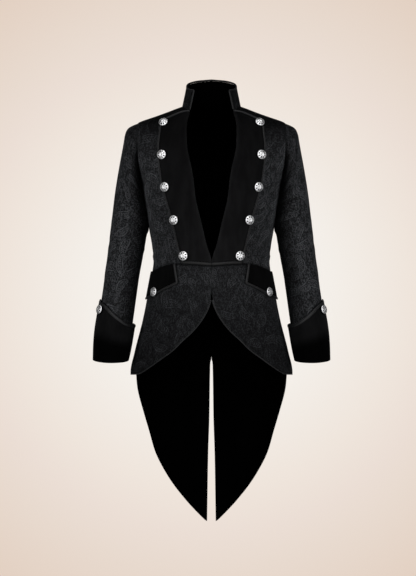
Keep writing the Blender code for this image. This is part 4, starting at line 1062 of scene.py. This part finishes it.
def outwardAt(places):
    # The way out of the body's cloth near the given places.
    angle = np.degrees(np.arctan2(places[:, 0], -places[:, 1]))
    height = np.clip(places[:, 2], bodySections["height"][0], bodySections["height"][-1])
    outward = movedOut(bodyForm, np.abs(angle), height, 1.0) - bodyForm(np.abs(angle), height)
    outward[:, 0] *= np.where(angle < 0, -1, 1)
    return outward


def evenPath(path, step):
    track = lengthsOf(path)
    wanted = np.linspace(0, track[-1], max(8, int(track[-1] / step)) + 1)
    return np.stack([np.interp(wanted, track, path[:, k]) for k in range(3)], axis=-1), wanted


def softened(path, times):
    for step in range(times):
        path = path.copy()
        path[1:-1] = path[1:-1] / 2 + path[:-2] / 4 + path[2:] / 4
    return path


def tangentOf(path, around):
    if around:
        return unit(np.roll(path, -1, axis=0) - np.roll(path, 1, axis=0))
    return unit(np.gradient(path, axis=0))


def bandPiece(name, node, path, outward, halfWidth, halfHeight, mirrored, around=False, sides=12, tone=1.0):
    # A rounded band along a path: halfWidth lies along the cloth, halfHeight stands out of it.
    tangent = tangentOf(path, around)
    across = unit(np.cross(tangent, outward))
    outward = np.cross(across, tangent)
    if around:
        path, across, outward = [np.concatenate([part, part[:1]]) for part in (path, across, outward)]
    turn = np.linspace(0, 2 * pi, sides + 1)
    halfWidth = np.broadcast_to(halfWidth, len(path))[:, None, None]
    places = path[:, None] + across[:, None] * halfWidth * np.cos(turn)[None, :, None]
    places = places + outward[:, None] * halfHeight * np.sin(turn)[None, :, None]
    weave = points(turn[None, :] * bandMapRadius, lengthsOf(path)[:, None])
    tones = np.broadcast_to(tone, len(path))[:, None] + 0 * places[..., 0]
    shape = placedGrid(places, weave, tones, True, mirrored)
    if not around:
        bmesh.ops.holes_fill(shape, edges=[edge for edge in shape.edges if edge.is_boundary], sides=0)
    bmesh.ops.recalc_face_normals(shape, faces=shape.faces)
    return finishPiece(newObject(name, shape), node, [satin])


def besideEdge(edge, inside, reach, around=False):
    # A line beyond an edge, square to it, away from the grid line inside it.
    tangent = tangentOf(edge, around)
    away = edge - inside
    away = away - tangent * np.sum(away * tangent, axis=-1, keepdims=True)
    return edge + unit(away) * reach


def edgePath(sides, step=0.0025, soften=3):
    # One path beyond several edges that meet end to end, its corners eased.
    path = []
    for edge, inside, reach in sides:
        beyond = besideEdge(edge, inside, reach)
        if path:
            path[-1] = path[-1] + beyond[0] - edge[0]
            beyond = beyond[1:]
        path.extend(beyond)
    even, track = evenPath(np.array(path), step)
    return softened(even, soften), track


middle, weave = collarPlaces(-collarLook["cordDepth"])
reach = collarLook["cordWidth"] + cloth["gap"]
path, track = edgePath([(middle[:, 0], middle[:, 1], reach), (middle[-1], middle[-2], reach),
                        (middle[::-1, -1], middle[::-1, -2], reach)], soften=2)
level = unit(path * np.array([1.0, 1.0, 0.0]))
tones = collarLook["cordTone"] * np.clip(0.4 - path[:, 1] / 0.05, 0.15, 1)  # painted shade: darker behind
bandPiece("collarCord", "collar_piping", path, level, collarLook["cordWidth"], collarLook["cordHeight"],
          False, tone=tones)
print("collar sewn")


# Plastrons

plastronLook = {
    "wall": cloth["velvet"], "inside": 0, "slot": "velvet", "materials": [velvet], "held": "draped",
    "cord": 0.0022, "topBand": 0.0030, "sideBand": 0.0023, "bottomBand": 0.0040, "roll": 0.0012,
    "rollWidth": 0.0080, "lowTone": 2.15, "rise": 1.25, "rollTone": 0.8, "rollToneWidth": 0.006,
    "topTone": 0.70, "sideTone": 0.55, "bottomTone": 0.20, "toneReach": (-0.43, -0.05),
    "liftReach": 0.05, "turn": 0.010, "lowTurn": 0.008,
}
velvetGrid = front[:cells["low"] + cells["arm"] + 1, :cells["plastron"] + 1].copy()
lift = 2 * plastronLook["bottomBand"] + cloth["gap"]
fade = np.clip((velvetGrid[:, :, 1] - velvetGrid[0, :, 1]) / plastronLook["liftReach"], 0, 1)
velvetGrid[:, :, 1] += lift * (1 - fade)
plain = bodyLine(velvetGrid)
roll = plastronLook["roll"] * hump(borderDistance(plain, "left"), plastronLook["rollWidth"])
outer = onBody(velvetGrid, cloth["gap"] + cloth["velvet"] + roll)
outer[..., 0] = np.maximum(outer[..., 0], cloth["gap"] / 2)
middle = onBody(velvetGrid, cloth["gap"] + plastronLook["cord"])
weave = bodyWeave(velvetGrid)
# Painted shade and highlight: the velvet is darker towards the top and lighter along its rolled front edge.
tones = plastronLook["lowTone"] - plastronLook["rise"] * ramp(plain[..., 2], *plastronLook["toneReach"])
rolled = hump(borderDistance(plain, "left"), plastronLook["rollToneWidth"])
tones = tones + plastronLook["rollTone"] * rolled
gap = cloth["gap"]
sides = [(middle[-1], middle[-2], plastronLook["topBand"] + gap),
         (middle[::-1, -1], middle[::-1, -2], plastronLook["sideBand"] + gap),
         (middle[0, ::-1], middle[1, ::-1], plastronLook["bottomBand"] + gap)]
path, track = edgePath(sides)
corner = lengthsOf(sides[0][0])[-1]
lowCorner = corner + lengthsOf(sides[1][0])[-1]
turn, lowTurn = plastronLook["turn"], plastronLook["lowTurn"]
spots = [0, corner - turn, corner + turn, lowCorner - lowTurn, lowCorner + lowTurn, track[-1]]


def alongBand(kind):
    # The band's width, and likewise its painted shade (darkest at the bottom), on its top, side and bottom,
    # changing at the corners.
    values = [plastronLook[edge + kind] for edge in ("top", "side", "bottom")]
    return np.interp(track, spots, np.repeat(values, 2))


bandWidth, bandTone = alongBand("Band"), alongBand("Tone")
path[-1, 0] = gap / 2
for side, mirrored in halves:
    shellPiece(f"plastronVelvet_{side}", f"plastron_{side}", outer, weave, tones, plastronLook, mirrored)
    bandPiece(f"plastronBand_{side}", f"plastron_piping_{side}", path, outwardAt(path), bandWidth,
              plastronLook["cord"], mirrored, tone=bandTone)
print("plastrons sewn")


# Piped edge of the skirts

skirtLook = {"cord": 0.0015, "cordTone": 1.1}
edge = onBody(skirt[0], -cloth["body"] / 2)
inside = onBody(skirt[1], -cloth["body"] / 2)
path = besideEdge(edge, inside, skirtLook["cord"] + gap)
path = path[path[:, 0] > skirtLook["cord"] + gap / 2]
path, track = evenPath(path, 0.003)
for side, mirrored in halves:
    piece = bandPiece(f"skirtCord_{side}", f"skirt_piping_{side}", path, outwardAt(path), skirtLook["cord"],
                      skirtLook["cord"], mirrored, sides=8, tone=skirtLook["cordTone"])


# Sleeves and cuffs

sleeveLook = {
    "wall": cloth["body"], "inside": 1, "slot": "brocade", "materials": [sleeveBrocade, lining],
    "held": "draped", "tuck": 0.0022, "sink": 0.0007, "otherPlace": 0.5,
    "front": 1.22, "inner": 0.86, "outer": 0.42, "outline": 0.38, "shoulder": 0.40,
    "innerReach": (0.42, 0.88), "outerWidth": 0.17, "outlineWidth": 0.035, "shoulderLength": 0.26,
}
cuffLook = {
    "wall": cloth["cuff"], "inside": 0, "slot": "velvet", "materials": [velvet], "held": "draped",
    "bandWidth": 0.0044, "bandHeight": 0.0024, "bandTone": 0.62, "bandReach": 0.0034, "bandSink": 0.0012,
    "topTone": 1.25, "hemTone": 0.08, "darkFrom": 0.30, "darkTo": 0.62,
}


def sleeveTone(angle, along):
    # Painted shade: the sleeve is darker towards the body, along its outer edge and at the shoulder.
    inward = 1 - (1 + np.cos(np.radians(angle))) / 2
    rim = sleeveLook["outer"] * hump(inward, sleeveLook["outerWidth"])
    rim = rim + sleeveLook["outline"] * hump(inward, sleeveLook["outlineWidth"])
    shoulder = sleeveLook["shoulder"] * (1 - ramp(along, 0, sleeveLook["shoulderLength"]))
    tone = sleeveLook["front"] - sleeveLook["inner"] * ramp(inward, *sleeveLook["innerReach"])
    return tone * (1 - rim) * (1 - shoulder)


around = np.linspace(180, 540, cells["sleeve"] + 1)  # the seam runs under the arm
angle, along = np.meshgrid(around, np.linspace(0, sleeveEnd, 2 * cells["sleeve"] + 1))
plain = sleeveForm(angle, along)
places = onSleeve(angle, along, seamDip(plain, ("bottom",)))
inward = unit(places[0].mean(axis=0) - places[0])
places[0] += inward * sleeveLook["sink"] - np.array([sleeveLook["tuck"], 0, 0])  # under the body's cloth
weave = points(np.radians(angle) * sleeveRadius, -along) + sleeveLook["otherPlace"]
cuffAngle, cuffShare = np.meshgrid(around, np.linspace(1, 0, cells["cuffRows"] + 1))
folded = foldedAngle(cuffAngle)
cuffAlong = sleeveEnd + (curveAt(cuffTop, "along", folded) - sleeveEnd) * cuffShare
closer = cuffCloser["share"] * cuffShare**3 * hump(folded, cuffCloser["halfAngle"])
stand = curveAt(cuffStand, "distance", cuffShare) * (1 - closer)
cuffOuter = movedOut(sleeveForm, cuffAngle, cuffAlong, stand)
cuffMiddle = movedOut(sleeveForm, cuffAngle, cuffAlong, stand - cloth["cuff"] / 2)
cuffWeave = points(np.radians(cuffAngle) * sleeveRadius, -cuffAlong)
# Painted shade: the cuff velvet darkens towards its hem.
darker = eased(ramp(1 - cuffShare, cuffLook["darkFrom"], cuffLook["darkTo"]))
cuffTones = cuffLook["topTone"] - (cuffLook["topTone"] - cuffLook["hemTone"]) * darker
bandOut = movedOut(sleeveForm, cuffAngle[:1], cuffAlong[:1], 1.0) - sleeveForm(cuffAngle[:1], cuffAlong[:1])
band = besideEdge(cuffMiddle[0, :-1], cuffMiddle[1, :-1], cuffLook["bandReach"], around=True)
band = band - bandOut[0, :-1] * cuffLook["bandSink"] * hump(folded[0, :-1], 25)[:, None]
for side, mirrored in halves:
    shellPiece(f"sleeveCloth_{side}", f"sleeve_{side}", places, weave, sleeveTone(angle, along), sleeveLook,
               mirrored, closed=True)
    shellPiece(f"cuffVelvet_{side}", f"cuff_{side}", cuffOuter, cuffWeave, cuffTones, cuffLook, mirrored,
               closed=True)
    bandPiece(f"cuffBand_{side}", f"cuff_piping_{side}", band, bandOut[0, :-1], cuffLook["bandWidth"],
              cuffLook["bandHeight"], mirrored, around=True, tone=cuffLook["bandTone"])
print("sleeves sewn")


# Pocket flaps

flapLook = {
    "wall": cloth["flap"], "inside": 0, "slot": "velvet", "materials": [velvet], "held": "draped",
    "bandWidth": 0.0034, "bandHeight": 0.0020, "tone": 0.5, "bandTone": 0.6,
}
grid = flapGrid()
outer = onBody(grid, cloth["flapGap"] + cloth["flap"])
middle = onBody(grid, cloth["flapGap"] + flapLook["bandHeight"])
reach = flapLook["bandWidth"] + gap
path, track = edgePath([(middle[::-1, 0], middle[::-1, 1], reach), (middle[0], middle[1], reach),
                        (middle[:, -1], middle[:, -2], reach)])
tones = np.full(grid.shape[:2], flapLook["tone"])
for side, mirrored in halves:
    shellPiece(f"flapVelvet_{side}", f"flap_{side}", outer, bodyWeave(grid), tones, flapLook, mirrored)
    bandPiece(f"flapBand_{side}", f"flap_piping_{side}", path, outwardAt(path), flapLook["bandWidth"],
              flapLook["bandHeight"], mirrored, tone=flapLook["bandTone"])
print("flaps sewn")


# Buttons: domed silver openwork with eight holes round the rim

buttonLook = {
    "holes": 8, "partsPerHole": 10, "sink": 0.0022, "scallop": 0.00035, "scallopFrom": 0.0110,
    "holeFrom": 0.0053, "holeWider": 0.0068, "holeTo": 0.0104, "holeLow": 0.0020, "narrow": 2.2,
    "wide": 3.0, "lip": 0.00018, "slope": 0.00025, "shankRadius": 0.0020,
    "seat": 0.0052, "cuffSeat": 0.0116, "shank": 0.0025, "cuffShank": 0.0034,
    "frontPlaces": [(0.1262, -0.0545), (0.1297, -0.1397), (0.1215, -0.2240), (0.0980, -0.3110),
                    (0.0731, -0.4055)],
    "flapPlace": (66.5, -0.5010), "cuffPlace": (39.0, 0.4985),
}
buttonProfile = [
    (0.0000, 0.0044), (0.0012, 0.0043), (0.0022, 0.0050), (0.0034, 0.0053), (0.0045, 0.0051),
    (0.0053, 0.0050), (0.0068, 0.0046), (0.0084, 0.0040), (0.0095, 0.0035), (0.0104, 0.0031),
    (0.0114, 0.0026), (0.0121, 0.0018), (0.0123, 0.0010), (0.0118, 0.0002), (0.0108, 0.0000),
    (buttonLook["shankRadius"], 0.0000),
]


def buttonShape(shank):
    # A profile turned once round, its rim scalloped, with a group of faces sunk for each hole.
    holes, each = buttonLook["holes"], buttonLook["partsPerHole"]
    shape = bmesh.new()
    profile = buttonProfile + [(buttonLook["shankRadius"], -shank), (0.0, -shank)]
    corners = [shape.verts.new((radius, 0, height)) for radius, height in profile]
    rail = [shape.edges.new(pair) for pair in zip(corners[:-1], corners[1:])]
    bmesh.ops.spin(shape, geom=corners + rail, cent=(0, 0, 0), axis=(0, 0, 1), angle=2 * pi,
                   steps=holes * each, use_merge=True)
    bmesh.ops.remove_doubles(shape, verts=shape.verts, dist=0.00001)
    bmesh.ops.recalc_face_normals(shape, faces=shape.faces)
    for vert in shape.verts:
        radius = vert.co.xy.length
        if radius > buttonLook["scallopFrom"]:
            turn = np.arctan2(vert.co.y, vert.co.x)
            grow = 1 + buttonLook["scallop"] * np.cos(2 * holes * turn) / radius
            vert.co.x *= grow
            vert.co.y *= grow
    groups = [[] for hole in range(holes)]
    for face in shape.faces:
        face.smooth = True
        middle = face.calc_center_median()
        radius = middle.xy.length
        if buttonLook["holeFrom"] < radius < buttonLook["holeTo"] and middle.z > buttonLook["holeLow"]:
            part = (np.arctan2(middle.y, middle.x) / (2 * pi) * holes * each) % (holes * each)
            spread = buttonLook["narrow"] if radius < buttonLook["holeWider"] else buttonLook["wide"]
            if abs(part % each - each / 2) < spread:
                groups[int(part // each)].append(face)
    for faces in groups:
        bmesh.ops.inset_region(shape, faces=faces, thickness=buttonLook["lip"], depth=0.0,
                               use_even_offset=True)
        sunk = bmesh.ops.inset_region(shape, faces=faces, thickness=buttonLook["slope"],
                                      depth=-buttonLook["sink"], use_even_offset=True)
        for face in faces + sunk["faces"]:
            face.material_index = 1
    return shape


def addButton(name, node, form, first, second, seat, shank, mirrored):
    # A button on its shank, off the place of a form and square to it.
    first, second = np.array([float(first)]), np.array([float(second)])
    place = movedOut(form, first, second, seat)[0]
    facing = (movedOut(form, first, second, 1.0) - form(first, second))[0]
    shape = buttonShape(shank)
    turn = Vector(facing).to_track_quat("Z", "Y").to_matrix()
    bmesh.ops.rotate(shape, verts=shape.verts, cent=(0, 0, 0), matrix=turn)
    bmesh.ops.translate(shape, verts=shape.verts, vec=Vector(place))
    if mirrored:
        mirrorShape(shape)
    piece = finishPiece(newObject(name, shape), node, [silverFace, silverHollow])
    addModifier(piece, "SUBSURF", levels=1, render_levels=1)


seat, shank = buttonLook["seat"], buttonLook["shank"]
for side, mirrored in halves:
    for number, (across, height) in enumerate(buttonLook["frontPlaces"], start=1):
        addButton(f"frontButton_{side}_{number}", f"button_{side}_{number}", bodyForm,
                  bodyAngle(across, height), height, seat, shank, mirrored)
    addButton(f"flapButton_{side}", f"flap_button_{side}", bodyForm, *buttonLook["flapPlace"], seat, shank,
              mirrored)
    addButton(f"cuffButton_{side}", f"cuff_button_{side}", sleeveForm, *buttonLook["cuffPlace"],
              buttonLook["cuffSeat"], buttonLook["cuffShank"], mirrored)
print("buttons sewn on")


# Studio: a pale sweep all round, soft lamps and the camera

studio = {
    "floor": -1.470, "radius": 9.0,
    "camera": (-0.0095, -4.0, -0.490), "frameHeight": 1.555,
    "tones": [(0.00, (246, 242, 237)), (0.081, (244, 239, 233)), (0.135, (239, 229, 220)),
              (0.165, (235, 222, 213)), (0.189, (232, 218, 207)), (0.236, (227, 209, 195)),
              (0.260, (225, 206, 192))],
    "lamps": [
        ("frontLeft", (-2.9, -2.0, 0.0), (0.0, 0.0, -0.30), 1.5, 62),
        ("frontRight", (2.9, -2.0, 0.0), (0.0, 0.0, -0.30), 1.5, 62),
        ("backLeft", (-2.6, 2.3, 0.4), (0.0, 0.0, -0.45), 1.5, 62),
        ("backRight", (2.6, 2.3, 0.4), (0.0, 0.0, -0.45), 1.5, 62),
    ],
    "cards": [("frontCard", (0.0, -3.6, 0.2), 4.0, 80), ("topCard", (0.0, -2.0, 2.4), 3.6, 62),
              ("leftCard", (-3.4, -1.8, -0.3), 3.0, 24), ("rightCard", (3.4, -1.8, -0.3), 3.0, 24),
              ("lowCard", (0.0, -2.4, -2.9), 3.4, 34)],
    "cardsAim": (0.0, 0.0, -0.35), "air": (0.90, 0.88, 0.86, 1.0), "fill": 0.06,
}


def linearTone(tone):
    share = np.array(tone) / 255
    return tuple(np.where(share <= 0.04045, share / 12.92, ((share + 0.055) / 1.055) ** 2.4)) + (1.0,)


def makeSweep():
    # A closed pale room that glows, with a painted pool of light: brightest round the coat and falling off
    # softly outward.
    shape = bmesh.new()
    bmesh.ops.create_uvsphere(shape, u_segments=96, v_segments=48, radius=studio["radius"])
    for vert in shape.verts:
        vert.co.z = max(vert.co.z, studio["floor"])
    bmesh.ops.reverse_faces(shape, faces=shape.faces)
    sweep = newObject("sweep", shape)
    bpy.context.scene.collection.objects.link(sweep)
    material = bpy.data.materials.new("sweepGlow")
    material.use_nodes = True
    tree = material.node_tree
    tree.nodes.clear()
    axes = axesOf(tree, addNode(tree, "ShaderNodeTexCoord").outputs["Object"])
    ahead = calc(tree, "MAXIMUM", calc(tree, "SUBTRACT", axes["Y"], studio["camera"][1]), 0.5)
    across = calc(tree, "DIVIDE", axes["X"], ahead)
    upwards = calc(tree, "DIVIDE", calc(tree, "SUBTRACT", axes["Z"], studio["camera"][2]), ahead)
    spread = calc(tree, "SQRT", calc(tree, "ADD", calc(tree, "MULTIPLY", across, across),
                                     calc(tree, "MULTIPLY", upwards, upwards)))
    ramp = addNode(tree, "ShaderNodeValToRGB")
    last = studio["tones"][-1][0]
    bands = ramp.color_ramp.elements
    while len(bands) < len(studio["tones"]):
        bands.new(0.5)
    for band, (where, tone) in zip(bands, studio["tones"]):
        band.position = where / last
        band.color = linearTone(tone)
    plug(tree, ramp.inputs["Fac"], calc(tree, "DIVIDE", spread, last))
    glow = addNode(tree, "ShaderNodeEmission", {"Color": ramp.outputs["Color"], "Strength": 1.0})
    addNode(tree, "ShaderNodeOutputMaterial", {"Surface": glow.outputs[0]})
    sweep.data.materials.append(material)
    sweep.visible_diffuse = False
    sweep.visible_glossy = False
    sweep.visible_shadow = False


def aim(item, place, target):
    item.location = place
    item.rotation_euler = (Vector(target) - Vector(place)).to_track_quat("-Z", "Y").to_euler()
    bpy.context.scene.collection.objects.link(item)


def areaLamp(name, place, target, size, power):
    lamp = bpy.data.lights.new(name, "AREA")
    lamp.size = size
    lamp.energy = power
    soft = bpy.data.objects.new(name, lamp)
    aim(soft, place, target)
    return soft


makeSweep()
for name, place, target, size, power in studio["lamps"]:
    areaLamp(name, place, target, size, power).visible_glossy = False
for name, place, size, power in studio["cards"]:
    areaLamp(name, place, studio["cardsAim"], size, power).visible_diffuse = False
world = bpy.data.worlds.new("studioAir")
world.use_nodes = True
air = world.node_tree.nodes["Background"].inputs
air["Color"].default_value = studio["air"]
air["Strength"].default_value = studio["fill"]
bpy.context.scene.world = world

cameraX, cameraY, cameraZ = studio["camera"]
lens = bpy.data.cameras.new("photoCamera")
lens.sensor_width = 36.0
lens.lens = lens.sensor_width * -cameraY / studio["frameHeight"]
viewer = bpy.data.objects.new("photoCamera", lens)
aim(viewer, studio["camera"], (cameraX, 0.0, cameraZ))
bpy.context.scene.camera = viewer
bpy.context.scene.view_settings.view_transform = "Standard"
print("studio ready")
